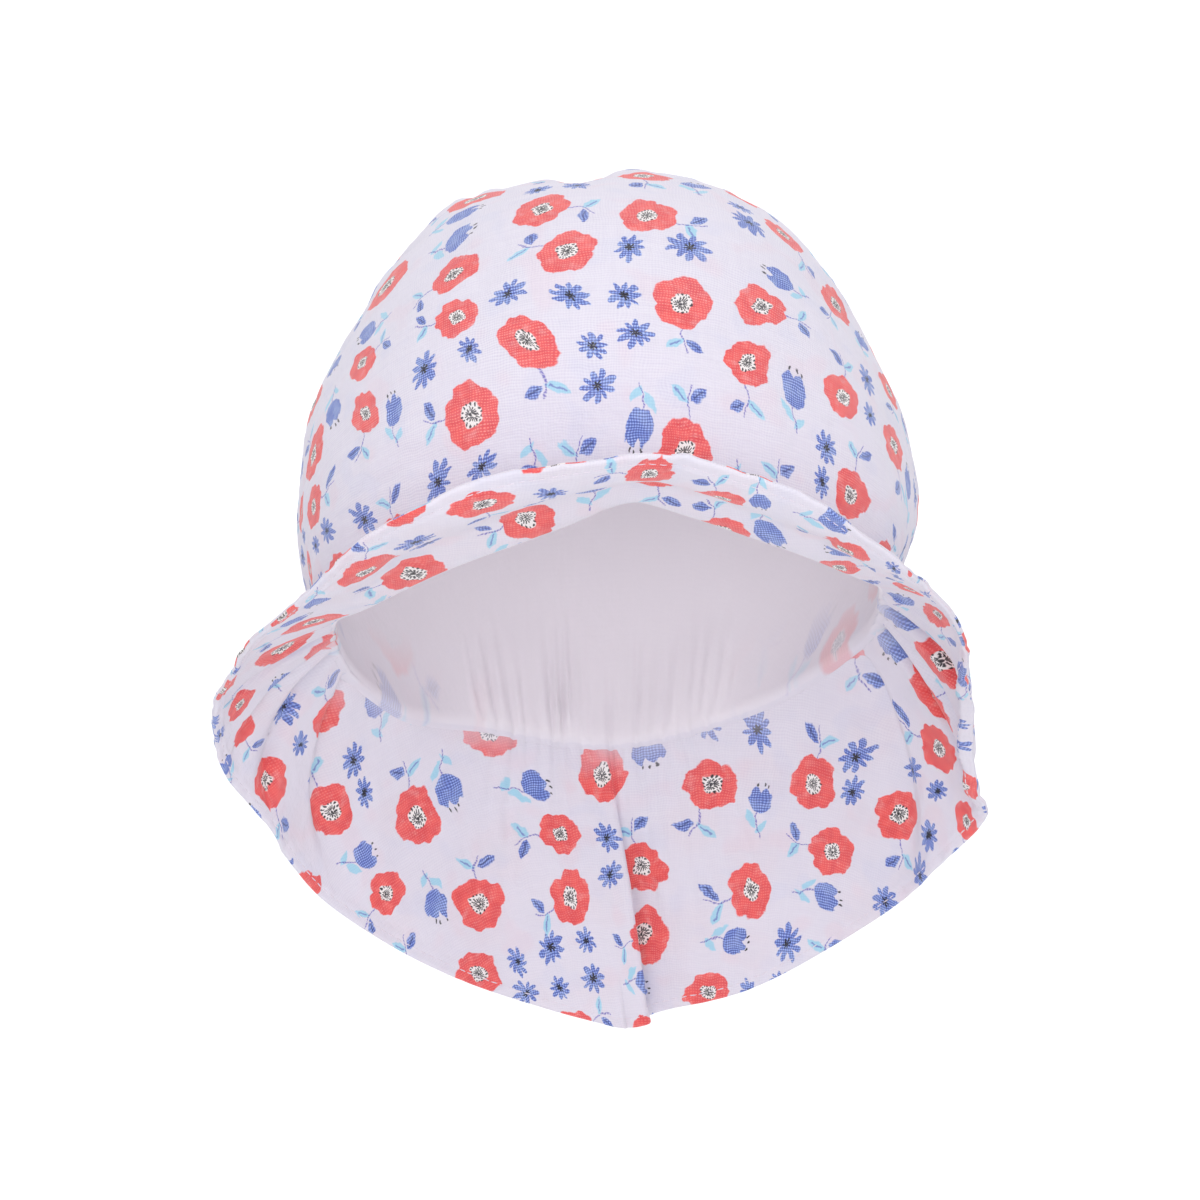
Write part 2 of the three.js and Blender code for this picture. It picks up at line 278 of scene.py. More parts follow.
def gather_folds():
    """Each fold's angle, half-width, depth and length up the cloth; uneven, as gathers are."""
    pick = np.random.default_rng(11)
    step = (GATHER_TO - GATHER_FROM) / GATHER_FOLDS
    folds = []
    for k in range(GATHER_FOLDS):
        middle = GATHER_FROM + step * (k + 0.5 + pick.uniform(-0.22, 0.22))
        edge = min(k, GATHER_FOLDS - 1 - k)
        depth = pick.uniform(0.5, 1.4) * min(1.0, 0.4 + 0.2 * edge)
        folds.append((middle, pick.uniform(0.55, 0.9), depth, pick.uniform(0.09, 0.19)))
    return folds


FOLDS_OF_ELASTIC = gather_folds()


def drawn_in(angle):
    """1 where the elastic draws the rim in, 0 elsewhere."""
    at = np.asarray(angle) % 360
    return smooth(GATHER_FROM - 3, GATHER_FROM + 4, at) * smooth(GATHER_TO + 3, GATHER_TO - 4, at)


def gathers(angle, share):
    """How far the gathered folds lift the cloth at an angle round the rim and a share down it."""
    at = np.asarray(angle) % 360
    lift = 0.0
    for middle, half, depth, length in FOLDS_OF_ELASTIC:
        rise = smooth(1 - length, 0.97, share)
        lift = lift + depth * bell(at - middle, half) * rise
    return lift - 0.35 * drawn_in(at) * smooth(0.85, 1.0, share)


def rim_point(angle):
    """The place on the rim at an angle from the front."""
    turn = np.radians(angle)
    out = along(RIM, "angle", "out", angle, 360)
    up = along(RIM, "angle", "up", angle, 360)
    return np.stack([out * np.sin(turn), -out * np.cos(turn), up + 0 * out], -1)


def table_reach(across, lengthwise, down, left, front):
    """How far the crown's table reaches in a direction that lies down degrees from the top."""
    side = np.where(left, along(CROWN, "down", "left", down), along(CROWN, "down", "right", down))
    face = np.where(front, along(CROWN, "down", "front", down), along(CROWN, "down", "back", down))
    return 1 / np.hypot(across / side, lengthwise / face)


def degrees_down(direction):
    """How many degrees a direction leans away from straight up."""
    return np.degrees(np.arctan2(np.hypot(direction[..., 0], direction[..., 1]), direction[..., 2]))


def crown_reach(direction):
    """How far the crown's cloth lies from the middle of the head in a direction."""
    flat = np.maximum(np.hypot(direction[..., 0], direction[..., 1]), 1e-9)
    side = (direction[..., 0] < 0, direction[..., 1] < 0)
    across, lengthwise = direction[..., 0] / flat, direction[..., 1] / flat
    angle = np.degrees(np.arctan2(direction[..., 0], -direction[..., 1]))
    rim = rim_point(angle) - HEART
    down, rim_down = degrees_down(direction), degrees_down(rim)
    share = down / rim_down
    wanted = np.linalg.norm(rim, axis=-1) / table_reach(across, lengthwise, rim_down, *side)
    reach = table_reach(across, lengthwise, down, *side) * (1 + (wanted - 1) * smooth(0.55, 1, share))
    for dent in DENTS:
        turn, lean = np.radians(dent["angle"]), np.radians(dent["down"])
        middle = np.array([np.sin(lean) * np.sin(turn), -np.sin(lean) * np.cos(turn), np.cos(lean)])
        dx = np.degrees(np.hypot(direction[..., 0] - middle[0], direction[..., 2] - middle[2]))
        dy = np.degrees(direction[..., 1] - middle[1])
        reach = reach - dent["deep"] * bell(dx, dent["across"]) * bell(dy, dent["along"])
    return reach + gathers(angle, share)


def crown_point(direction, inset):
    """The place on the crown in a direction, a little way inside its surface."""
    return HEART + direction * (crown_reach(direction) - inset)[..., None]


def seam_direction(share, shift):
    """A direction on the seam over the head; share runs from the left of the rim to the right."""
    side = np.where(share < 0.5, -1.0, 1.0)
    end = unit(rim_point(side * (SEAM_ANGLE + shift)) - HEART)
    top = unit(np.array([0.0, SEAM_LEAN + np.radians(shift), 1.0]))
    return between(top + 0 * end, end, (np.abs(share - 0.5) * 2)[..., None])


rim_loop = rim_point(np.linspace(-180, 180, 721))
print(f"the rim measures {distance_along(rim_loop, 0)[-1]:.0f} mm round")

# %% [markdown]
# ## Turning grids of points into cloth
#
# A woven piece has two faces and a rounded edge. `cloth` takes a grid of points for each face and joins
# them into one closed mesh. Each point also keeps its place on the flat cut piece, in metres, as a map
# called `flat`. The print and the weave are drawn on that flat cut, which is why they follow the cloth
# round every curve just as real printed fabric does. Two more records can be kept: `veil` says where a
# thin layer shows or dims the print behind it, and `near_rim` says where the lining lies on the brim.

# %%
# Build a closed piece of cloth from two grids
def add_object(name, data):
    """Puts mesh, lamp or camera data into the scene as an object."""
    piece = bpy.data.objects.new(name, data)
    bpy.context.scene.collection.objects.link(piece)
    return piece


def cloth(name, outer, inner, flat_outer, flat_inner, closed_round=False, records=None):
    """A closed piece of cloth between two grids of points, with its flat map and its records."""
    columns, rows = outer.shape[:2]
    points = np.concatenate([outer.reshape(-1, 3), inner.reshape(-1, 3)]) * MM
    flats = np.concatenate([flat_outer.reshape(-1, 2), flat_inner.reshape(-1, 2)]) * MM
    size = columns * rows
    i = np.arange(columns if closed_round else columns - 1)
    j = np.arange(rows - 1)
    a = (i[:, None] * rows + j).ravel()
    b = (((i + 1) % columns)[:, None] * rows + j).ravel()
    faces = [np.stack([a, a + 1, b + 1, b], 1), np.stack([a, b, b + 1, a + 1], 1) + size]
    for row, turn in ((0, False), (rows - 1, True)):
        p, q = i * rows + row, ((i + 1) % columns) * rows + row
        ring = np.stack([p, q, q + size, p + size], 1)
        faces.append(ring[:, ::-1] if turn else ring)
    if not closed_round:
        for column, turn in ((0, True), (columns - 1, False)):
            p = column * rows + j
            ring = np.stack([p, p + 1, p + 1 + size, p + size], 1)
            faces.append(ring[:, ::-1] if turn else ring)
    faces = np.concatenate(faces)
    mesh = bpy.data.meshes.new(name)
    mesh.vertices.add(len(points))
    mesh.vertices.foreach_set("co", points.ravel())
    mesh.loops.add(faces.size)
    mesh.loops.foreach_set("vertex_index", faces.ravel())
    mesh.polygons.add(len(faces))
    mesh.polygons.foreach_set("loop_start", np.arange(0, faces.size, 4))
    mesh.polygons.foreach_set("loop_total", np.full(len(faces), 4))
    mesh.update(calc_edges=True)
    layer = mesh.uv_layers.new(name="flat")
    wrapped = flats[faces.ravel()].reshape(-1, 4, 2)
    layer.data.foreach_set("uv", wrapped.ravel())
    for record, values in (records or {}).items():
        layer = mesh.attributes.new(record, "FLOAT", "POINT")
        both = np.concatenate([np.zeros(size), np.broadcast_to(values, (columns, rows)).ravel()])
        layer.data.foreach_set("value", both.astype(np.float32))
    mesh.validate()
    mesh.polygons.foreach_set("use_smooth", np.ones(len(mesh.polygons), bool))
    return add_object(name, mesh)


def grid_area(grid):
    """Area of one face of a grid of points in millimetres, in square metres."""
    a, b, c, d = grid[:-1, :-1], grid[1:, :-1], grid[1:, 1:], grid[:-1, 1:]
    doubled = sum(np.linalg.norm(np.cross(p - a, q - a), axis=-1) for p, q in ((b, c), (c, d)))
    return float(doubled.sum() / 2) * 1e-6


def cut_size(flat):
    """Width and length of a piece spread flat, in metres, from its flat map in millimetres."""
    corners = flat.reshape(-1, 2)
    return tuple(float(side) for side in (corners.max(0) - corners.min(0)) * MM)


def grid_normals(grid, closed_round=False):
    """Unit normals of a grid of points, outwards."""
    if closed_round:
        across = np.roll(grid, -1, 0) - np.roll(grid, 1, 0)
    else:
        across = np.gradient(grid, axis=0)
    down = np.gradient(grid, axis=1)
    return unit(np.cross(down, across))


def flat_map(directions, middle):
    """Spreads directions flat round a middle one, as a rounded panel spreads when it is pressed."""
    middle = unit(np.asarray(middle, float))
    side = unit(np.cross(middle, [0.0, 0.0, 1.0]))
    up = np.cross(side, middle)
    away = np.arccos(np.clip((directions * middle).sum(-1), -1, 1))
    x, y = (directions * side).sum(-1), (directions * up).sum(-1)
    scale = PANEL_RADIUS * away / np.maximum(np.hypot(x, y), 1e-9)
    return np.stack([x * scale, y * scale], -1)


print("cloth maker ready; quick run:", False)

# %% [markdown]
# ## The two printed crown panels
#
# A crown like this is cut as a front and a back panel and sewn together over the head from side to side.
# The back panel is cut a little longer and eased into that seam, which makes small puckers. Real muslin
# is never smooth: it keeps broad soft swells from handling and thin crinkles from washing, so both are
# added to the surface, more near the seams where the thread pulls the cloth in.

# %%
# Crown panels with seam puckers and crinkles
DETAIL = 1.0


def spread(*spans, to_the_end=False):
    """Angles spread evenly over spans of (start, end, count); to_the_end keeps the very last one."""
    last = len(spans) - 1
    return np.concatenate([
        np.linspace(start, end, int(count * DETAIL), endpoint=to_the_end and k == last)
        for k, (start, end, count) in enumerate(spans)])


def crinkles(flat, seed, strength=1.0):
    """Height of the soft swells and thin creases of washed muslin on the flat cut, in mm."""
    x, y = flat[..., 0], flat[..., 1]
    swell = 0.5 * noise(x, y, 34.0, seed) + 0.3 * noise(x, y, 15.0, seed + 1)
    warp = 5.0 * noise(x, y, 22.0, seed + 2)
    thin = 0.52 * (creased(x + warp, y - warp, 19.0, seed + 3) - 0.6)
    fine = 0.26 * (creased(x - warp, y + warp, 8.0, seed + 4) - 0.6) + 0.07 * noise(x, y, 2.6, seed + 5)
    return strength * (swell + thin + fine)


CREASES = table(
    "start end half deep",
    ((7, 97), (-3, 50), 3.2, 1.0),
    ((-2, 97), (-13, 56), 4.0, -0.7),
    ((-43, 92), (-39, 60), 1.8, 1.5),
    ((-36, 94), (-33, 62), 2.6, -0.9),
    ((44, 92), (36, 58), 2.2, 1.3),
    ((38, 94), (30, 60), 2.6, -0.6),
    ((70, 62), (46, 44), 2.4, 1.0),
    ((-62, -6), (-40, -20), 3.0, 0.6),
    ((58, -14), (34, -24), 3.0, 0.6),
)


def crease_depth(flat, creases):
    """How far the cloth sinks along straight creases on its flat cut."""
    depth = 0.0
    for crease in creases:
        start, end = np.array(crease["start"], float), np.array(crease["end"], float)
        run = end - start
        t = ((flat - start) * run).sum(-1) / (run @ run)
        off = np.linalg.norm(flat - start - np.clip(t, 0, 1)[..., None] * run, axis=-1)
        depth = depth + crease["deep"] * bell(off, crease["half"]) * smooth(1.0, 0.4, t)
    return depth


def crown_panel(name, angles, shift, seam_from, seam_to, facing, seed, eased_in, creases=()):
    """One panel from the seam over the head down to the rim, with its area and the size of its cut."""
    rows = max(40, int(150 * DETAIL))
    share = np.linspace(0, 1, rows)[None, :]
    t = (angles - angles[0]) / (angles[-1] - angles[0])
    seam_at = SIDE_SEAM_SHARE + (1 - 2 * SIDE_SEAM_SHARE) * (seam_from + (seam_to - seam_from) * t)
    rim = unit(rim_point(angles) - HEART)[:, None, :]
    seam = seam_direction(seam_at, shift)[:, None, :]
    way = between(seam, rim, share[..., None])
    base = crown_point(way, 0.0)
    from_seam = distance_along(base, 1)
    from_rim = from_seam[:, -1:] - from_seam
    flat = flat_map(way, facing)
    along_seam = SEAM_LENGTH * seam_at[:, None]
    pucker = noise(along_seam, 0.25 * from_seam, 3.4, seed + 20) * np.exp(-from_seam / (9.0 * eased_in))
    rim_run = np.radians(angles)[:, None] * RIM_RADIUS
    pull = noise(rim_run, 0.2 * from_rim, 4.2, seed + 21) * np.exp(-from_rim / 7.0)
    lift = crinkles(flat, seed) * smooth(0, 14, from_rim) * smooth(0, 9, from_seam)
    lift = lift + 0.42 * eased_in * pucker + 0.5 * pull
    lift = lift - SEAM_GROOVE * bell(from_seam, 2.2) - RIM_GROOVE * bell(from_rim, 1.8)
    lift = lift - CROWN_SINK - crease_depth(flat, creases) * smooth(0, 6, from_rim)
    outer = base + way * lift[..., None]
    inner = outer - way * CROWN_WALL
    piece = cloth(name, outer, inner, flat, flat)
    return piece, grid_area(outer), cut_size(flat)


front_end, back_start = SEAM_ANGLE - SEAM_CLEAR, SEAM_ANGLE + SEAM_CLEAR
fine_from, fine_to = GATHER_FROM - 4, GATHER_TO + 4
front_angles = spread((-front_end, -16, 92), (-16, 12, 52), (12, front_end, 96), to_the_end=True)
back_angles = spread(
    (back_start, fine_from, 56), (fine_from, fine_to, 170), (fine_to, 360 - back_start, 52), to_the_end=True)
crown_front, front_area, front_cut = crown_panel(
    "crown_front_panel", front_angles, -SEAM_CLEAR, 0.0, 1.0, (0.0, -0.85, 0.53), 100, 0.7, CREASES)
crown_back, back_area, back_cut = crown_panel(
    "crown_back_panel", back_angles, SEAM_CLEAR, 1.0, 0.0, (0.0, 0.9, 0.43), 200, 1.3)
for piece, node in ((crown_front, "crown_front"), (crown_back, "crown_back")):
    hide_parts(node)
    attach(piece, "root")
    print(piece.name, len(piece.data.polygons) * 2, "triangles")
print(f"panel areas: {front_area * 1e4:.0f} and {back_area * 1e4:.0f} square centimetres")

# %% [markdown]
# ## The brim and neck flap
#
# The brim is one ring of doubled muslin. In front it is short and rolls in a soft S, at the sides it
# droops, and at the back it grows into a flap that hangs under its own weight. Where the hat was kept
# folded, a crease runs down the middle of the flap and one half lies over the other. Small folds fan
# out from the sides, where the narrow brim turns into the long flap, and each one hides a few millimetres
# of cloth, so the print jumps where it crosses a fold. `takes` in the table is that hidden width. The
# stitched hem draws the edge into little ripples.

# %%
# Brim surface: roll, drape, folds and hem ripples
SIDE_FOLDS = table(
    "rim hem half deep start end lip takes",
    (-86, -74, 3.2, -1.4, 0.02, 0.75, 0, 0),
    (-92, -86, 3.4, 3.4, 0.0, 0.75, 1, 4.5),
    (-97, -100, 3.6, 4.2, 0.0, 0.8, -1, 5),
    (-103, -116, 4.0, 3.8, 0.0, 0.9, 1, 6),
    (-112, -134, 5.2, 2.8, 0.0, 0.8, -1, 4),
    (-38, -32, 4.0, 1.0, 0.1, 0.9, 1, 0),
    (40, 33, 3.4, 1.4, 0.1, 0.9, -1, 2),
    (52, 47, 3.6, 1.4, 0.1, 0.8, 1, 2.5),
    (86, 78, 3.0, -1.4, 0.02, 0.7, 0, 0),
    (92, 93, 3.2, 3.6, 0.0, 0.9, 1, 4),
    (97, 101, 3.2, 4.2, 0.0, 0.9, -1, 5),
    (103, 110, 3.4, 4.2, 0.0, 0.95, 1, 6),
    (110, 121, 4.2, 3.4, 0.0, 0.9, -1, 5),
    (121, 138, 5.5, 2.2, 0.05, 0.95, 1, 4),
)
SLIDE = 0.45
TURNED_OUT = 2.6
HEM_BULGE = 0.25
STITCH_GROOVE = 0.22
UNDER_SHIFT = (11.0, 37.0)


def turned(angle):
    """An angle brought to between -180 and 180 degrees."""
    return (np.asarray(angle) + 180) % 360 - 180


def brim_lengths(angle):
    """How wide the brim is, from rim to hem, at an angle."""
    return np.linalg.norm(brim_plain(angle, np.array(1.0)) - brim_plain(angle, np.array(0.0)), axis=-1)


def brim_plain(angle, share):
    """The middle of the brim's cloth, before its small folds."""
    way = unit(rim_point(angle) - HEART)
    edge = crown_point(way, BRIM_INSET)
    above = crown_point(between(way, np.array([0.0, 0.0, 1.0]) + 0 * way, 0.03), BRIM_INSET)
    off = np.abs(turned(angle))
    frontness, squareness = smooth(ROLL_ENDS, 20, off), smooth(130, 80, off)
    edge = edge + unit(edge - above) * (GAP + BRIM_WALL / 2 + FRONT_DROP * squareness)[..., None]
    hem = np.stack([along(HEM, "angle", k, turned(angle), 360) for k in "xyz"], -1)
    point = edge + (hem - edge) * share[..., None]
    roll = ROLL_HEIGHT * frontness * np.sin(2 * np.pi * share) * smooth(0, 0.3, share)
    turn = np.radians(angle)
    outward = np.stack([np.sin(turn), -np.cos(turn), 0 * turn], -1)
    push = DRAPE * (1 - frontness) * np.sin(np.pi * share)
    for wave in WAVES:
        push = push - wave["deep"] * bell(turned(angle - wave["angle"]), wave["span"]) * share**1.5
    point = point + outward * push[..., None]
    point[..., 2] += roll
    return point


def across_fold(fold, angle, share):
    """How far past a fold's line a place is, in half-widths, and how strong the fold is there."""
    line = fold["rim"] + (fold["hem"] - fold["rim"]) * share
    away = turned(angle - line) / (fold["half"] * (0.45 + 0.75 * share))
    window = smooth(fold["start"] - 0.01, fold["start"] + 0.06, share)
    return away, window * smooth(fold["end"] + 0.15, fold["end"] - 0.3, share)


def taken_up(angle, share):
    """Millimetres of cloth hidden in the folds on the way to an angle; it comes back slowly beyond."""
    off, hidden = turned(angle), 0.0
    for fold in SIDE_FOLDS:
        side = np.sign(fold["rim"])
        away, _ = across_fold(fold, angle, share)
        beyond = np.where(off * side > 0, smooth(-0.1, 0.1, away * side), 0.0)
        given_back = np.clip((off * side - 20) / 155, 0, 1)
        hidden = hidden + side * fold["takes"] * (1 - share) * (beyond - given_back)
    return hidden


def brim_middle(angle, share):
    """The middle of the brim's cloth, with the fold down the back and the folds at the sides."""
    point = brim_plain(angle, share)
    past = turned(angle - FOLD["angle"])
    step = np.tanh(past / FOLD["sharp"]) * smooth(FOLD["starts"], FOLD["full"], share)
    depth = np.where(step < 0, FOLD["far"], FOLD["near"])
    point[..., 1] -= depth * step * np.exp(-np.abs(past) / FOLD["spread"])
    point[..., 0] += FOLD["over"] * step * np.exp(-np.abs(past) / FOLD["tuck"])
    turn = np.radians(angle)
    outward = np.stack([np.sin(turn), -np.cos(turn), 0.35 + 0 * turn], -1)
    sideways = np.stack([np.cos(turn), np.sin(turn), 0 * turn], -1)
    push, slide = 0.0, 0.0
    for fold in SIDE_FOLDS:
        away, window = across_fold(fold, angle, share)
        flank = 0.5 + 0.5 * np.tanh(3.2 * away * fold["lip"] + 0.4 * abs(fold["lip"]))
        ledge = flank * (1 if fold["lip"] else 2)
        height = fold["deep"] * bell(away, 1.0) * window * ledge
        push = push + height
        slide = slide - SLIDE * fold["lip"] * height
    turned_out = smooth(84, 94, turned(angle)) * smooth(124, 114, turned(angle))
    push = push - TURNED_OUT * turned_out * bell(share - 0.93, 0.04)
    return point + outward * (push + 0 * share)[..., None] + sideways * (slide + 0 * share)[..., None]


def make_brim():
    """The brim with its crinkles, gathers, turned hem and stitch groove, and what the lining needs of it."""
    angles = spread(
        (-176, -150, 44), (-150, -78, 170), (-78, 78, 150), (78, 150, 170), (150, 177, 50), (177, 184, 76))
    rows = max(24, int(58 * DETAIL))
    angle = angles[:, None] + np.zeros((1, rows + 5))
    length = brim_lengths(angles)[:, None]
    near_hem = np.array([1.6, 0.9, 0.45, 0.15, 0.0])[None, :] / length
    even = np.linspace(0, 1, rows)[None, :] * (1 - near_hem[:, :1] * 1.5)
    share = np.concatenate([even, 1 - near_hem], axis=1)
    middle = brim_middle(angle, share)
    normal = grid_normals(middle, closed_round=True)
    run = distance_along(middle[:, -1], 0)[:, None]
    rim_run = np.radians(angles)[:, None] * RIM_RADIUS
    from_hem = (1 - share) * length
    from_rim = share * length
    radius = RIM_RADIUS + from_rim
    turn = np.radians(angle) + taken_up(angle, share) / radius
    flat = np.stack([radius * np.sin(turn), -radius * np.cos(turn)], -1)
    under = np.stack([flat[..., 0] + UNDER_SHIFT[0], -flat[..., 1] + UNDER_SHIFT[1]], -1)
    lift = crinkles(flat, 400, 0.9) * smooth(0, 5, from_rim) * smooth(0, 6, from_hem)
    ripple = 0.34 * noise(run, 0.3 * from_hem, 3.6, 410) + 0.9 * noise(run, 0 * from_hem, 11.0, 411)
    lift = lift + ripple * np.exp(-from_hem / 6.0)
    pull = noise(rim_run, 0.2 * from_rim, 4.4, 412) * smooth(0, 2, from_rim)
    lift = lift + 0.4 * pull * np.exp(-from_rim / 7.0)
    off = np.abs(turned(angle))
    gathered = gathers(angle, np.array(1.0)) * smooth(150, 168, off) * np.exp(-from_rim / 11.0)
    lift = lift + 0.8 * gathered * smooth(0, 1.5, from_rim)
    middle = middle + normal * lift[..., None]
    half = 0.5 * (BRIM_WALL - 0.35) + HEM_BULGE * smooth(5.2, 4.2, from_hem)
    groove = STITCH_GROOVE * bell(from_hem - HEM_STITCH_IN, 0.45)
    round_off = np.sqrt(np.clip(1 - (1 - np.clip(from_hem / 0.7, 0, 1)) ** 2, 0.0009, 1))
    half = (half - groove) * round_off
    outer = middle + normal * half[..., None]
    inner = middle - normal * half[..., None]
    misty = 0.75 + 0.35 * noise(flat[..., 0], flat[..., 1], 7.0, 420)
    veil = 0.58 * smooth(85, 105, off) * misty * smooth(12.0, 0.0, from_rim)
    piece = cloth("brim_and_neck_flap", outer, inner, flat, under, closed_round=True, records={"veil": veil})
    return piece, angles, share, length, outer, inner, normal, cut_size(flat)


brim, brim_angles, brim_share, brim_length, brim_outer, brim_inner, brim_normal, brim_cut = make_brim()
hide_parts("brim")
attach(brim, "root")
brim_area = grid_area(brim_outer)
print(f"{brim.name}: {len(brim.data.polygons) * 2} triangles, {brim_area * 1e4:.0f} square centimetres")
width_in_front, width_at_back = brim_lengths(np.array([0.0, 180.0]))
print(f"brim width: front {width_in_front:.0f} mm, back {width_at_back:.0f} mm")

# %% [markdown]
# ## The plain lining
#
# The lining is a second, plain bowl of white muslin that hides the turnings, and it goes in last. It
# hangs a little clear of the crown, so it sags into soft folds. The elastic in the rim gathers it at
# the back into rounded upright ridges. They are a sine wave whose spacing and height wander, because
# an even wave would look like corrugated card. The lower edge runs on past the seam for two
# millimetres and lies on the brim, so no gap shows.

# %%
# Lining with gathered folds and an edge that lies on the brim
RIDGE_SPACING = 4.0
RIDGE_DEPTH = 1.9
LINING_ARC = 115.0
LINING_EDGE = table("past stand", (0.3, 0.25), (0.8, 0.24), (1.3, 0.2), (1.8, 0.12), (2.1, -0.02))


def line_on_brim(face, distance, from_hem):
    """A closed line on one face of the brim, at a distance from the hem or from the rim."""
    away = (1 - brim_share) * brim_length if from_hem else brim_share * brim_length
    line, out = [], []
    for k in range(len(brim_angles)):
        order = np.argsort(away[k])
        for source, sink in ((face, line), (brim_normal, out)):
            sink.append([np.interp(distance, away[k][order], source[k, order, c]) for c in range(3)])
    line.append(line[0])
    out.append(out[0])
    return np.array(line), unit(np.array(out))


def make_lining():
    """The lining bowl, its gathers, and its edge on the inner face of the brim."""
    angles = spread((fine_to - 360, fine_from, 180), (fine_from, fine_to, 200))
    rows = max(40, int(116 * DETAIL))
    share = np.linspace(0.004, 1, rows)[None, :]
    rim = unit(rim_point(angles) - HEART)[:, None, :]
    top = np.array([0.0, 0.0, 1.0]) + 0 * rim
    way = between(top, rim, share[..., None])
    clear = CROWN_WALL + 0.4 + (LINING_GAP + LINING_EASE) * smooth(1.04, 0.90, share)
    clear = clear + 0.5 * smooth(0.90, 1, share)
    turn = np.radians(angles)[:, None]
    fan = noise(9 * np.cos(turn), 9 * np.sin(turn), 1.35, 301)
    sag = 0.55 * fan * smooth(0.35, 0.9, share) * smooth(1, 0.93, share)
    run = RIM_RADIUS * turn
    wander = 0.7 * noise(run, 10 * share, 9.0, 333)
    ridges = (0.5 + 0.5 * np.sin(2 * np.pi * (run / RIDGE_SPACING + wander))) * drawn_in(np.degrees(turn))
    ridges = ridges * (0.7 + 0.6 * noise(run, 0 * share, 6.0, 335))
    reach_up = 0.82 + 0.06 * noise(run, 0 * share, 5.0, 334)
    sag = sag - RIDGE_DEPTH * ridges * smooth(reach_up, 0.96, share) * smooth(1.0, 0.975, share)
    around = np.stack([60 * np.sin(turn) * share, 60 * np.cos(turn) * share], -1)
    sag = sag + crinkles(around * 1.6, 310, 0.8) * smooth(1, 0.9, share)
    base = crown_point(way, 0.0)
    outside = base - way * (clear - np.minimum(0, sag))[..., None]
    inside = base - way * (clear + LINING_WALL - sag + np.maximum(0, sag))[..., None]
    at = np.concatenate([brim_angles, [brim_angles[0] + 360]])
    asked = (angles - brim_angles[0]) % 360 + brim_angles[0]
    at_angles = lambda line: np.stack([np.interp(asked, at, line[:, c]) for c in range(3)], -1)
    off = np.abs(turned(np.degrees(turn)))
    width = smooth(55, 110, off)
    start = at_angles(line_on_brim(brim_inner, 0.0, False)[0])
    edge_out, edge_in = [], []
    for row in LINING_EDGE:
        line, out = line_on_brim(brim_inner, row["past"], False)
        for sink, offset in ((edge_out, 0.12), (edge_in, -row["stand"])):
            sink.append(start + (at_angles(line + out * offset) - start) * (0.08 + 0.92 * width))
    outside = np.concatenate([outside, np.stack(edge_out, 1)], axis=1)
    inside = np.concatenate([inside, np.stack(edge_in, 1)], axis=1)
    past = np.array([row["past"] for row in LINING_EDGE])[None, :]
    radius = np.concatenate([RIM_RADIUS * share**1.4 + 0 * turn, RIM_RADIUS + past + 0 * turn], axis=1)
    flat = np.stack([radius * np.sin(turn) + UNDER_SHIFT[0], radius * np.cos(turn) + UNDER_SHIFT[1]], -1)
    from_rim = LINING_ARC * np.concatenate([1 - share, 0 * past], axis=1)
    beside = smooth(78, 95, off) * smooth(160, 135, off)
    show = 0.34 * beside * smooth(14.0, 1.0, from_rim) * width
    near_rim = width * np.concatenate([0 * share, smooth(-0.3, 1.0, past)], axis=1)
    piece = cloth("crown_lining_cloth", outside, inside, flat, flat, closed_round=True,
                  records={"veil": show, "near_rim": near_rim})
    return piece, inside


lining, lining_grid = make_lining()
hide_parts("crown_lining")
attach(lining, "root")
lining_area = grid_area(lining_grid)
lining_cut = (2 * float(np.sqrt(lining_area / np.pi)),) * 2
print(f"{lining.name}: {len(lining.data.polygons) * 2} triangles, with gathers at the back")

# %% [markdown]
# ## Stitches
#
# The hem is held by a row of white topstitching a few millimetres in from the edge. A machine stitch
# seen from one side is a short thread that rises from one hole and sinks into the next, so each stitch
# here is a small bent tube, flattened a little, and every one differs slightly in angle and length.

# %%
# Rows of machine stitches as one mesh
def stitch_row(points, normals, pick, thread=0.12, length=STITCH_LENGTH):
    """Corners and faces of thread stitches along a closed line that lies on the cloth."""
    ring, ends = 6, 5
    travelled = distance_along(points, 0)
    count = int(travelled[-1] / length)
    corners, faces = [], []
    for k in range(count):
        start = travelled[-1] * (k + 0.10 + pick.uniform(-0.03, 0.03)) / count
        stop = travelled[-1] * (k + 0.86 + pick.uniform(-0.03, 0.03)) / count
        t = np.linspace(start, stop, ends)
        middle = np.stack([np.interp(t, travelled, points[:, c]) for c in range(3)], -1)
        normal = unit(np.stack([np.interp(t, travelled, normals[:, c]) for c in range(3)], -1))
        across = unit(np.cross(normal, np.gradient(middle, axis=0)))
        slant = pick.uniform(-0.09, 0.09)
        middle = middle + across * np.linspace(-slant, slant, ends)[:, None]
        arch = np.sin(np.linspace(0, np.pi, ends))[:, None]
        middle = middle + normal * (thread * (1.15 * arch - 0.55))
        width = thread * (0.55 + 0.45 * np.sqrt(arch))
        turn = np.linspace(0, 2 * np.pi, ring, endpoint=False)
        base = len(corners) * ring * ends
        tube = (
            middle[:, None, :]
            + across[:, None, :] * (np.cos(turn) * 1.15)[None, :, None] * width[:, None]
            + normal[:, None, :] * (np.sin(turn) * 0.85)[None, :, None] * width[:, None]
        )
        corners.append(tube.reshape(-1, 3))
        for a in range(ends - 1):
            for b in range(ring):
                c = (b + 1) % ring
                faces.append((base + a * ring + b, base + (a + 1) * ring + b,
                              base + (a + 1) * ring + c, base + a * ring + c))
        faces.append(tuple(base + b for b in range(ring)))
        faces.append(tuple(base + (ends - 1) * ring + b for b in reversed(range(ring))))
    return np.concatenate(corners), faces


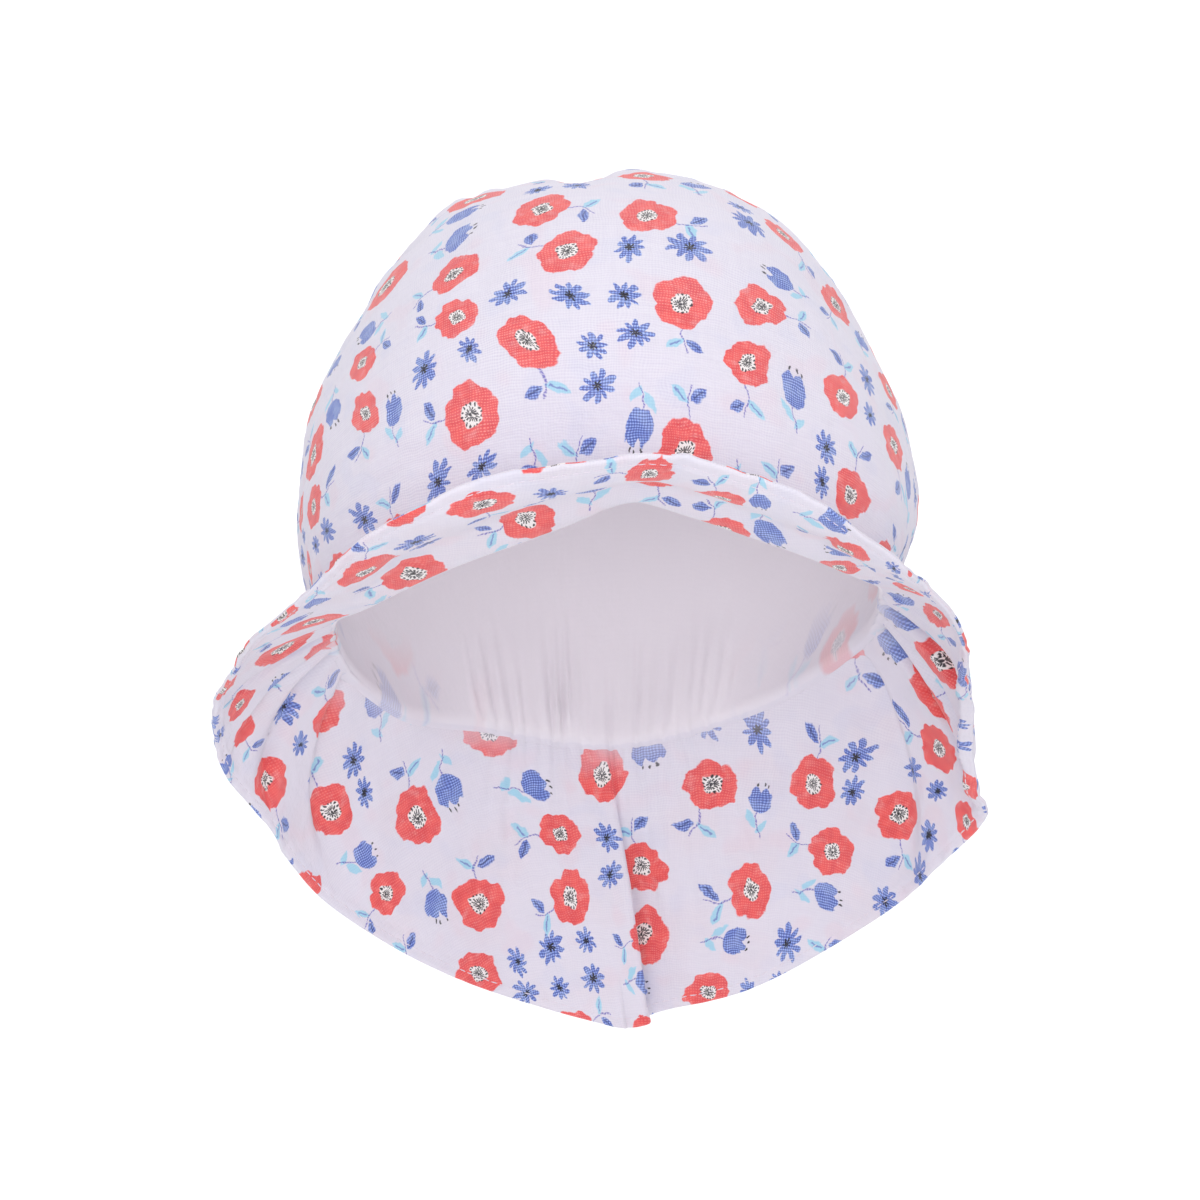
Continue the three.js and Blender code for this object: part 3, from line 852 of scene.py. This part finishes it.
def thread_piece(name, rows):
    """All rows of stitches as one piece of the hat."""
    pick = np.random.default_rng(77)
    all_corners, all_faces, base = [], [], 0
    for line, normals in rows:
        corners, faces = stitch_row(line, normals, pick)
        all_corners.append(corners)
        all_faces += [tuple(v + base for v in face) for face in faces]
        base += len(corners)
    mesh = bpy.data.meshes.new(name)
    mesh.from_pydata((np.concatenate(all_corners) * MM).tolist(), [], all_faces)
    mesh.update()
    mesh.polygons.foreach_set("use_smooth", np.ones(len(mesh.polygons), bool))
    piece = add_object(name, mesh)
    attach(piece, "root")
    return piece


hem_rows = []
for face, side in ((brim_outer, 1), (brim_inner, -1)):
    line, out = line_on_brim(face, HEM_STITCH_IN, True)
    hem_rows.append((line, out * side))
hem_thread = thread_piece("hem_topstitching", hem_rows)
print(hem_thread.name, len(hem_thread.data.polygons), "faces")

# %% [markdown]
# ## Drawing with sums
#
# The print is drawn by the material itself, with no picture. A shader can only do sums on the point it
# is colouring, so a flower is a sum: how far is this point from the middle, and is that less than a
# scalloped radius? `Value` lets those sums be written as ordinary formulas, and builds one shader node
# for each of them.

# %%
# Formulas that become shader nodes
class Value:
    """A number that the shader works out at every point of the cloth."""

    tree = None
    blur = 1.0

    def __init__(self, source):
        self.source = source

    def __add__(self, other):
        return maths("ADD", self, other)

    def __sub__(self, other):
        return maths("SUBTRACT", self, other)

    def __rsub__(self, other):
        return maths("SUBTRACT", other, self)

    def __mul__(self, other):
        return maths("MULTIPLY", self, other)

    __rmul__ = __mul__


def feed(socket, value):
    """Gives a socket a constant, or links it to a Value or to another node's output."""
    source = getattr(value, "source", value)
    if isinstance(source, bpy.types.NodeSocket):
        Value.tree.links.new(source, socket)
    else:
        socket.default_value = value


def new_node(kind, **inputs):
    """A shader node of the material at work, with its inputs named with underscores for spaces."""
    node = Value.tree.nodes.new("ShaderNode" + kind)
    for name, value in inputs.items():
        feed(node.inputs[name.replace("_", " ")], value)
    return node


def maths(kind, *inputs):
    """One sum or function of Values and plain numbers."""
    node = new_node("Math")
    node.operation = kind
    for socket, value in zip(node.inputs, inputs):
        feed(socket, value)
    return Value(node.outputs[0])


def absolute(a):
    return maths("ABSOLUTE", a)


def sine(a):
    return maths("SINE", a)


def cosine(a):
    return maths("COSINE", a)


def most(a, b):
    return maths("MAXIMUM", a, b)


def least(a, b):
    return maths("MINIMUM", a, b)


def length_of(x, y):
    return maths("SQRT", x * x + y * y)


def inside(edge, value, soft):
    """1 where value is below edge, 0 where it is above, with a step between that blur widens."""
    reach = soft * Value.blur
    node = new_node("MapRange", Value=value - edge, From_Min=-reach, From_Max=reach, To_Min=1.0, To_Max=0.0)
    node.interpolation_type = "SMOOTHSTEP"
    return Value(node.outputs["Result"])


def turn_by(x, y, cos_turn, sin_turn):
    """x and y seen from axes that are turned."""
    return x * cos_turn + y * sin_turn, y * cos_turn - x * sin_turn


def shift_turn(x, y, at_x, at_y, degrees):
    """Local coordinates of a shape that sits at (at_x, at_y) and is turned by degrees."""
    c, s = float(np.cos(np.radians(degrees))), float(np.sin(np.radians(degrees)))
    return turn_by(x - at_x, y - at_y, c, s)


def point_vector(x, y, z=0.0):
    """Three numbers as one place."""
    return new_node("CombineXYZ", X=x, Y=y, Z=z).outputs[0]


def cloud(x, y, scale, detail=2.0, z=0.0):
    """Soft random value from 0 to 1 on the flat cut, and its colour output for more such values."""
    node = new_node("TexNoise", Scale=scale, Detail=detail, Vector=point_vector(x, y, z))
    return Value(node.outputs["Fac"]), node.outputs["Color"]


def parts_of(colour):
    """Red, green and blue of a colour, as three Values."""
    return [Value(out) for out in new_node("SeparateColor", Color=colour).outputs]


def mix(share, a, b):
    """Colour a where share is 0, colour b where it is 1."""
    node = new_node("Mix")
    node.data_type = "RGBA"
    for place, value in ((0, share), (6, a), (7, b)):
        feed(node.inputs[place], value)
    return node.outputs[2]


def paint(*parts):
    """A colour given as it looks on screen, 0 to 255, in the shader's own scale."""
    return tuple(((v / 255 + 0.055) / 1.055) ** 2.4 for v in parts) + (1.0,)


def start_material(name):
    """A new empty material, which the makers above then work in."""
    material = bpy.data.materials.new(name)
    material.use_nodes = True
    Value.tree = material.node_tree
    Value.tree.nodes.clear()
    return material


print("node maths ready")

# %% [markdown]
# ## The flower print
#
# Small scattered prints like this are rolled on in a repeat. The repeat here is a square of cloth that
# steps down half a square in every other column, which hides its rows. Each square holds a coral
# blossom with a sprig, and either two blue daisies or a bellflower, and it is flipped and turned by
# chance so that no two squares next to each other look alike. The whole print drifts a little, and the
# ink's edges wobble along the threads, because ink spreads in thin threads.

# %%
# One repeat of the print, drawn with sums
TILE = 27.5
# The pale coral paints only the highlight on thread tops. The deep coral, pale blue and navy are print
# colours that also paint the weave's highlight or shade.
CORAL, CORAL_DEEP, CORAL_HIGHLIGHT = paint(247, 88, 82), paint(234, 70, 70), paint(255, 142, 134)
CREAM, INK = paint(250, 244, 242), paint(14, 12, 18)
BLUE, BLUE_PALE, NAVY = paint(76, 110, 206), paint(178, 202, 248), paint(38, 44, 104)
AQUA, STEM = paint(158, 216, 238), paint(96, 86, 186)


def leaf(x, y, at_x, at_y, degrees, length, width):
    """A pointed leaf from (at_x, at_y) outwards, and the thin vein down its middle."""
    along_it, across = shift_turn(x, y, at_x, at_y, degrees)
    share = along_it * (1 / length)
    outline = absolute(across) - share * (1 - share) * (4 * width)
    vein = most(absolute(across) - 0.22, absolute(share - 0.5) * length - 0.3 * length)
    return inside(0.0, outline, 0.22), inside(0.0, vein, 0.16)


def blossom(x, y, radius, turn):
    """A five-petalled blossom: petals, the darker lines between them, pale middle, and its dashes."""
    away = length_of(x, y)
    angle = maths("ARCTAN2", y, x) + turn
    lobes = absolute(cosine(angle * 2.5))
    uneven = cosine(angle * 3 + turn * 2.0) * 0.04 + cosine(angle * 11) * 0.025
    edge = (lobes * 0.12 + uneven + 0.88) * radius
    petals = inside(edge, away, 0.2)
    between_petals = inside(0.16, lobes, 0.12) * inside(-0.45 * radius, away * -1.0, 0.5)
    centre = inside((cosine(angle * 4 + turn) * 0.03 + 0.36) * radius, away, 0.18)
    wedge = maths("PINGPONG", angle * (15 / (2 * np.pi)) + 30.0, 0.5)
    reach = cosine(angle * 3 + turn) * 0.03 + 0.16
    dash = most(wedge * (away * (2 * np.pi / 15)) - 0.15, absolute(away - reach * radius) - 0.075 * radius)
    off_dot = length_of((away - 0.325 * radius) * 0.8, (0.5 - wedge) * (radius * (2 * np.pi * 0.325 / 15)))
    marks = most(most(inside(0.0, dash, 0.07), inside(0.24, off_dot, 0.07)), inside(0.42, away, 0.12))
    return petals, between_petals, centre, marks


def daisy(x, y, radius, turn):
    """A daisy with nine uneven petals, and its dark eye."""
    away = length_of(x, y)
    angle = maths("ARCTAN2", y, x) + turn
    lobes = maths("POWER", absolute(cosine(angle * 4.5)), 0.85)
    reach = cosine(angle * 2 + turn) * 0.12 + 0.88
    petals = inside((lobes * 0.56 + 0.44) * reach * radius, away, 0.2)
    speck = maths("PINGPONG", angle * (7 / (2 * np.pi)) + 14.0, 0.5)
    eye = inside(0.0, most(speck * away - 0.26, away - 0.26 * radius), 0.08)
    return petals, eye


def bellflower(x, y):
    """A bell with a wavy mouth, its stamen dots and its stem."""
    cup = length_of(x * (1 / 3.6), (y - 1.0) * (1 / 4.3)) - 1.0
    mouth = (y - 3.0 - absolute(sine(x * 1.0 + 0.5)) * 1.7) * 0.3
    body = inside(0.0, most(cup, mouth), 0.045)
    side = absolute(x)
    dots = least(length_of(side - 1.6, (y - 5.2) * 0.5), length_of(x - 0.2, (y - 5.6) * 0.5))
    return body, inside(0.26, dots, 0.1), stem_line(x - sine(y * 0.45) * 0.8, y + 6.4, 3.6)


def stem_line(x, y, half_length):
    """A thin broken line of ink along the y axis."""
    broken = inside(0.35, sine(y * 7.5 + x * 6.0) * -1.0, 0.5)
    return inside(0.0, most(absolute(x) - 0.2, absolute(y) - half_length), 0.12) * (broken * 0.6 + 0.4)


def swapped(x, y, share):
    """x and y as they are where share is 0, and changed over where it is 1."""
    return x + share * (y - x), y + share * (x - y)


def draw_print(x_mm, y_mm, ground, thread_highlight, gap_shade):
    """The printed colour at a place on the flat cut, over the ground colour, with the weave's painted
    highlight and painted shade in the ink.
    """
    _, drift = cloud(x_mm, y_mm, 0.02, 1.0, 7.0)
    drift_x, drift_y, _ = parts_of(drift)
    _, wobble = cloud(x_mm, y_mm, 0.36, 1.5)
    wobble_x, wobble_y, strength = parts_of(wobble)
    pulled_x, _ = cloud(x_mm * 0.45, y_mm * 2.4, 1.0, 1.0, 3.0)
    pulled_y, _ = cloud(x_mm * 2.4, y_mm * 0.45, 1.0, 1.0, 8.0)
    x = x_mm + (drift_x - 0.5) * 20.0 + (wobble_x - 0.5) * 2.0 + (pulled_x - 0.5) * 0.35
    y = y_mm + (drift_y - 0.5) * 20.0 + (wobble_y - 0.5) * 2.0 + (pulled_y - 0.5) * 0.35
    column = maths("FLOOR", x * (1 / TILE))
    local_x = x - column * TILE
    odd = maths("PINGPONG", column, 1.0)
    stepped = y + odd * (TILE / 2)
    row = maths("FLOOR", stepped * (1 / TILE))
    local_y = stepped - row * TILE
    chance = new_node("TexWhiteNoise", Vector=point_vector(column, row))
    chance.noise_dimensions = "2D"
    first, second, third = parts_of(chance.outputs["Color"])
    flip_x = maths("GREATER_THAN", first, 0.5)
    flip_y = maths("GREATER_THAN", second, 0.5)
    kind = maths("GREATER_THAN", maths("FRACT", first * 7.3), 0.5)
    lx = local_x + flip_x * (TILE - local_x * 2.0)
    ly = local_y + flip_y * (TILE - local_y * 2.0)
    lx, ly = swapped(lx, ly, maths("GREATER_THAN", third, 0.5))

    at_x = (second - 0.5) * 1.6 + 9.3
    at_y = (first - 0.5) * 1.4 + 18.3
    lean = (maths("FRACT", third * 5.1) - 0.6) * 0.8
    bx, by = turn_by(lx - at_x, ly - at_y, cosine(lean), sine(lean))
    petals, lines, centre, marks = blossom(bx, by, second * 1.1 + 6.4, third * 6.28)
    stem = stem_line(bx - sine(by * 0.5) * 0.7, by + 10.2, 3.9)
    blue_leaf, blue_vein = leaf(bx, by, -0.1, -10.4, 214.0, 5.6, 1.45)
    aqua_leaf, aqua_vein = leaf(bx, by, 0.3, -9.8, -30.0, 6.0, 1.2)

    d1, e1 = daisy(lx - 21.6, ly - 8.2 + (first - 0.5) * 3.0, 5.2, third * 5.0)
    d2, e2 = daisy(lx - 22.3, ly - 19.6 - (third - 0.5) * 3.0, 4.3, second * 5.0)
    body, bell_dots, bell_stem = bellflower(lx - 21.8, ly - 14.6)
    left_leaf, _ = leaf(lx, ly, 21.3, 7.4, 126.0, 5.8, 1.0)
    right_leaf, _ = leaf(lx, ly, 21.5, 5.8, 50.0, 5.0, 0.95)
    other = 1.0 - kind
    daisies, eyes = most(d1, d2) * other, most(e1, e2) * other
    aqua = most(aqua_leaf, most(left_leaf, right_leaf) * kind)
    blue = most(most(daisies, body * kind), blue_leaf)
    dark_blue = blue_vein * 0.75
    stems = most(most(stem, bell_stem * kind), aqua_vein * 0.8)

    patch, _ = cloud(x_mm, y_mm, 0.3, 2.0, 4.0)
    coral = mix(inside(0.52, patch, 0.16), CORAL_DEEP, CORAL)
    coral = mix(lines * 0.4, coral, CORAL_DEEP)
    thin = inside(0.52, strength, 0.2) * 0.6 + 0.4
    # Painted highlight on the thread tops and painted shade in the gaps between threads, mixed into the ink.
    coral = mix(thread_highlight * thin * 0.42, coral, CORAL_HIGHLIGHT)
    coral = mix(gap_shade * 0.22, coral, CORAL_DEEP)
    indigo = mix(inside(0.46, patch, 0.10) * 0.35, BLUE, BLUE_PALE)
    indigo = mix(thread_highlight * thin * 0.85, indigo, BLUE_PALE)
    indigo = mix(gap_shade * 0.62, indigo, NAVY)
    faded = inside(0.36, strength, 0.12)
    colour = mix(aqua * 0.85, ground, AQUA)
    colour = mix(stems * 0.85, colour, STEM)
    colour = mix(blue * 0.93, colour, indigo)
    colour = mix(dark_blue * 0.9, colour, NAVY)
    colour = mix(petals * 0.97, colour, coral)
    colour = mix(petals * faded * 0.12, colour, CREAM)
    colour = mix(centre, colour, CREAM)
    return mix(most(most(marks, eyes), bell_dots * kind) * 0.97, colour, INK)


# %% [markdown]
# ## Muslin
#
# Muslin is a loose plain weave: fine threads cross over and under each other several times in every
# two millimetres, some thicker than others, and the gaps between them catch tiny shadows. The weave is
# made from two sets of waves at right angles, each wavering as real threads do. The crosswise threads
# stand higher here, because they are the thicker ones in this cloth. The waves drive the bump, and they
# also paint light and shade into the colour: a painted highlight on the thread tops and painted shade
# in the gaps, over the print as well as the plain ground. The weave shows more in some patches than in
# others.
# Light also passes through thin cotton, so a part of each point's light comes from behind. The print
# that shows faintly through the lining is blurred, because it lies a layer deeper.

# %%
# Weave, sheen and see-through light for every cloth
THREAD_PITCH = 0.68
SEE_THROUGH = 0.12


def recorded(name):
    """The value of a record that the cloth keeps at its points."""
    node = new_node("Attribute")
    node.attribute_name = name
    return Value(node.outputs["Fac"])


def muslin_material(name, ground, rim_ground, print_shows, print_blur, relief):
    """Woven cloth. print_shows turns the veil into how strongly the print is seen there."""
    material = start_material(name)
    flat = new_node("UVMap")
    flat.uv_map = "flat"
    split = new_node("SeparateXYZ", Vector=flat.outputs[0])
    x, y = (Value(split.outputs[axis]) * (1 / MM) for axis in "XY")
    veil, near_rim = recorded("veil"), recorded("near_rim")

    _, drift = cloud(x, y, 0.16, 1.0, 9.0)
    drift_x, drift_y, _ = parts_of(drift)
    thick_x, _ = cloud(x * 0.07, y * 1.5, 1.0, 1.0, 2.0)
    thick_y, _ = cloud(x * 1.5, y * 0.07, 1.0, 1.0, 5.0)
    warp = sine((x + (drift_x - 0.5) * 2.6) * (2 * np.pi / THREAD_PITCH))
    weft = sine((y + (drift_y - 0.5) * 2.0) * (2 * np.pi / THREAD_PITCH))
    over = warp * weft
    weave = (warp * 0.7 + weft * 1.3) * 0.25 + over * 0.15 + 0.5
    # Thread tops and the dips between threads, used below to paint a highlight and a shade into the colour.
    thread_highlight = inside(-0.45, (weft * 0.75 + warp * 0.5) * -1.0, 0.35)
    gap_shade = inside(-0.4, warp * 0.5 + weft * 0.7, 0.4)
    slub = (thick_x * 1.2 + thick_y * 0.8) * 0.5
    tone, _ = cloud(x, y, 0.05, 1.0, 1.0)
    behind, _ = cloud(x, y, 0.085, 1.0, 11.0)

    colour = mix(tone, paint(*[c - 4 for c in ground]), paint(*ground))
    colour = mix(near_rim, colour, paint(*rim_ground))
    behind_print = mix(inside(0.38, behind, 0.07) * 0.12, paint(*rim_ground), paint(244, 190, 200))
    behind_print = mix(inside(-0.62, behind * -1.0, 0.06) * 0.10, behind_print, paint(186, 200, 236))
    Value.blur = print_blur
    printed = draw_print(x, y, behind_print, thread_highlight, gap_shade)
    Value.blur = 1.0
    colour = mix(print_shows(veil), colour, printed)
    colour = mix(inside(0.44, slub, 0.08) * (0.07 * relief), colour, paint(196, 190, 214))
    colour = mix(inside(-0.56, slub * -1.0, 0.07) * (0.07 * relief), colour, paint(255, 255, 255))
    # Painted shade in the gaps and painted highlight on the thread tops of the plain ground, stronger in
    # some patches.
    patchy = tone * 3.0 - 0.5
    colour = mix(gap_shade * patchy * (0.09 * relief), colour, paint(168, 156, 190))
    colour = mix(thread_highlight * patchy * (0.10 * relief), colour, paint(255, 255, 255))

    height = weave * (0.05 * relief) + slub * (0.02 + 0.12 * relief)
    crumple, _ = cloud(x, y, 0.22, 2.0, 6.0)
    grain, _ = cloud(x, y, 0.95, 1.0, 14.0)
    height = height + crumple * 0.26 + grain * (0.05 + 0.13 * relief)
    normal = new_node("Bump", Strength=0.75, Distance=MM, Height=height).outputs[0]

    surface = new_node("BsdfPrincipled", Base_Color=colour, Roughness=slub * 0.25 + 0.78, Normal=normal,
                       Sheen_Weight=0.25, Sheen_Roughness=0.55, Specular_IOR_Level=0.22)
    through = new_node("BsdfTranslucent", Color=colour, Normal=normal)
    blend = new_node("MixShader", Fac=SEE_THROUGH)
    feed(blend.inputs[1], surface.outputs[0])
    feed(blend.inputs[2], through.outputs[0])
    new_node("OutputMaterial", Surface=blend.outputs[0])
    return material


CROWN_GROUND = (231, 226, 238)
BRIM_GROUND = (231, 226, 237)
LINING_WHITE = (254, 248, 254)
crown_muslin = muslin_material("crown_muslin", CROWN_GROUND, CROWN_GROUND, lambda veil: 1.0 - veil, 1.0, 1.0)
brim_muslin = muslin_material("brim_muslin", BRIM_GROUND, BRIM_GROUND, lambda veil: 1.0 - veil, 1.0, 0.55)
lining_muslin = muslin_material("lining_muslin", LINING_WHITE, BRIM_GROUND, lambda veil: veil, 4.5, 0.1)
for piece in (crown_front, crown_back):
    piece.data.materials.append(crown_muslin)
brim.data.materials.append(brim_muslin)
lining.data.materials.append(lining_muslin)
print("print nodes:", len(crown_muslin.node_tree.nodes))

# %% [markdown]
# ## Sewing thread
#
# The thread is bright white polyester, smoother than the cloth and a little shiny. Two plies twist
# round each other, which shows as fine slanting ribs: a bump, with painted shade in the grooves between
# the plies and a painted highlight on their tops.

# %%
# White thread with a slight twist
def thread_material():
    """Bright thread whose two plies show as slanting ribs, with painted shade in their grooves."""
    material = start_material("white_thread")
    where = new_node("TexCoord").outputs["Object"]
    twist = new_node("TexWave", Scale=900.0, Distortion=2.0, Vector=where).outputs["Fac"]
    normal = new_node("Bump", Strength=0.6, Distance=0.06 * MM, Height=twist).outputs[0]
    # Painted shade in the grooves between the plies and a painted highlight on their tops, following the
    # twist.
    rib_shade = mix(twist, paint(222, 212, 226), paint(242, 234, 242))
    surface = new_node("BsdfPrincipled", Base_Color=rib_shade, Roughness=0.55, Sheen_Weight=0.15, Normal=normal)
    new_node("OutputMaterial", Surface=surface.outputs[0])
    return material


white_thread = thread_material()
hem_thread.data.materials.append(white_thread)
print("thread material on", hem_thread.name)

# %% [markdown]
# ## Saying what each cloth was cut from
#
# Each piece of cloth prints the size of the flat piece that it was cut from and the area of its
# finished shape. Cloth hardly stretches, so the two areas have to agree.

for piece, cut, area in (
        (crown_front, front_cut, front_area), (crown_back, back_cut, back_area),
        (lining, lining_cut, lining_area), (brim, brim_cut, brim_area)):
    wide, long = np.array(cut) / MM
    print(f"{piece.name}: cut {wide:.0f} x {long:.0f} mm, {area * 1e4:.0f} square centimetres")

# %% [markdown]
# ## Floor, light and camera
#
# The picture to match is a catalogue picture: even, soft light, nearly white all round, taken from
# straight in front with a long lens. The floor is a pale sheet that sweeps up behind the hat, so there
# is no horizon. One wide soft light hangs over the front. A second one lies low in front of the hat and
# shines up into it, because the inside of the crown would be far too dark without it. Two weak lights
# touch the sides, one brightens the sheet behind, and the pale surroundings do the rest.

# %%
# Seamless floor, soft lights and the camera
FLOOR_HEIGHT = -0.185
SWEEP_START, SWEEP_RADIUS = 1.6, 0.9
CAMERA_PLACE = (-0.0022, -1.5, 0.0041)
LENS = 185.2
LIGHTS = table(
    "name place target size watts",
    ("key", (0.0, -1.4, 0.78), (0, 0, 0.02), (1.3, 1.0), 7.6),
    ("front_fill", (-0.05, -1.7, -0.25), (0, 0, 0), (1.5, 0.9), 13.5),
    ("left_fill", (-1.3, -0.4, 0.2), (0, 0, 0), (0.9, 1.2), 0.1),
    ("right_fill", (1.3, -0.4, 0.2), (0, 0, 0), (0.9, 1.2), 0.5),
    ("backdrop_light", (0, 0.9, 1.9), (0, 2.2, 0.3), (2.4, 0.6), 26.0),
)


def make_floor():
    """A flat sheet that curves up into a wall behind the hat."""
    profile = [(-3.0, 0.0), (SWEEP_START, 0.0)]
    for turn in np.radians(90 * np.arange(1, 13) / 12):
        profile.append((SWEEP_START + SWEEP_RADIUS * np.sin(turn), SWEEP_RADIUS * (1 - np.cos(turn))))
    profile.append((SWEEP_START + SWEEP_RADIUS, 3.5))
    corners = [(x, y, z + FLOOR_HEIGHT) for x in (-4.0, 4.0) for y, z in profile]
    n = len(profile)
    faces = [(k, k + 1, n + k + 1, n + k) for k in range(n - 1)]
    mesh = bpy.data.meshes.new("floor")
    mesh.from_pydata(corners, [], faces)
    mesh.polygons.foreach_set("use_smooth", np.ones(len(mesh.polygons), bool))
    floor = add_object("floor", mesh)
    material = bpy.data.materials.new("pale_floor")
    material.use_nodes = True
    surface = material.node_tree.nodes["Principled BSDF"]
    surface.inputs["Base Color"].default_value = (0.93, 0.93, 0.935, 1)
    surface.inputs["Roughness"].default_value = 0.9
    mesh.materials.append(material)


def soft_light(name, place, target, size, watts):
    """A rectangular light at a place, turned to face a target."""
    data = bpy.data.lights.new(name, "AREA")
    data.shape = "RECTANGLE"
    data.size, data.size_y = size
    data.energy = watts
    lamp = add_object(name, data)
    lamp.location = place
    aim = np.array(target, float) - np.array(place, float)
    tilt, swing = np.arctan2(np.hypot(aim[0], aim[1]), -aim[2]), np.arctan2(aim[0], -aim[1]) + np.pi
    lamp.rotation_euler = (float(tilt), 0.0, float(swing))


make_floor()
for light in LIGHTS:
    soft_light(**light)
world = bpy.data.worlds.new("pale_room")
world.use_nodes = True
world.node_tree.nodes["Background"].inputs["Color"].default_value = (0.97, 0.975, 1.0, 1)
world.node_tree.nodes["Background"].inputs["Strength"].default_value = 0.72
bpy.context.scene.world = world

camera_data = bpy.data.cameras.new("camera")
camera_data.lens = LENS
camera_data.sensor_width = 36.0
camera = add_object("camera", camera_data)
camera.location = CAMERA_PLACE
camera.rotation_euler = (np.pi / 2, 0.0, 0.0)
bpy.context.scene.camera = camera
bpy.context.scene.view_settings.view_transform = "Standard"
print(f"camera looks level from {-CAMERA_PLACE[1]} m in front")
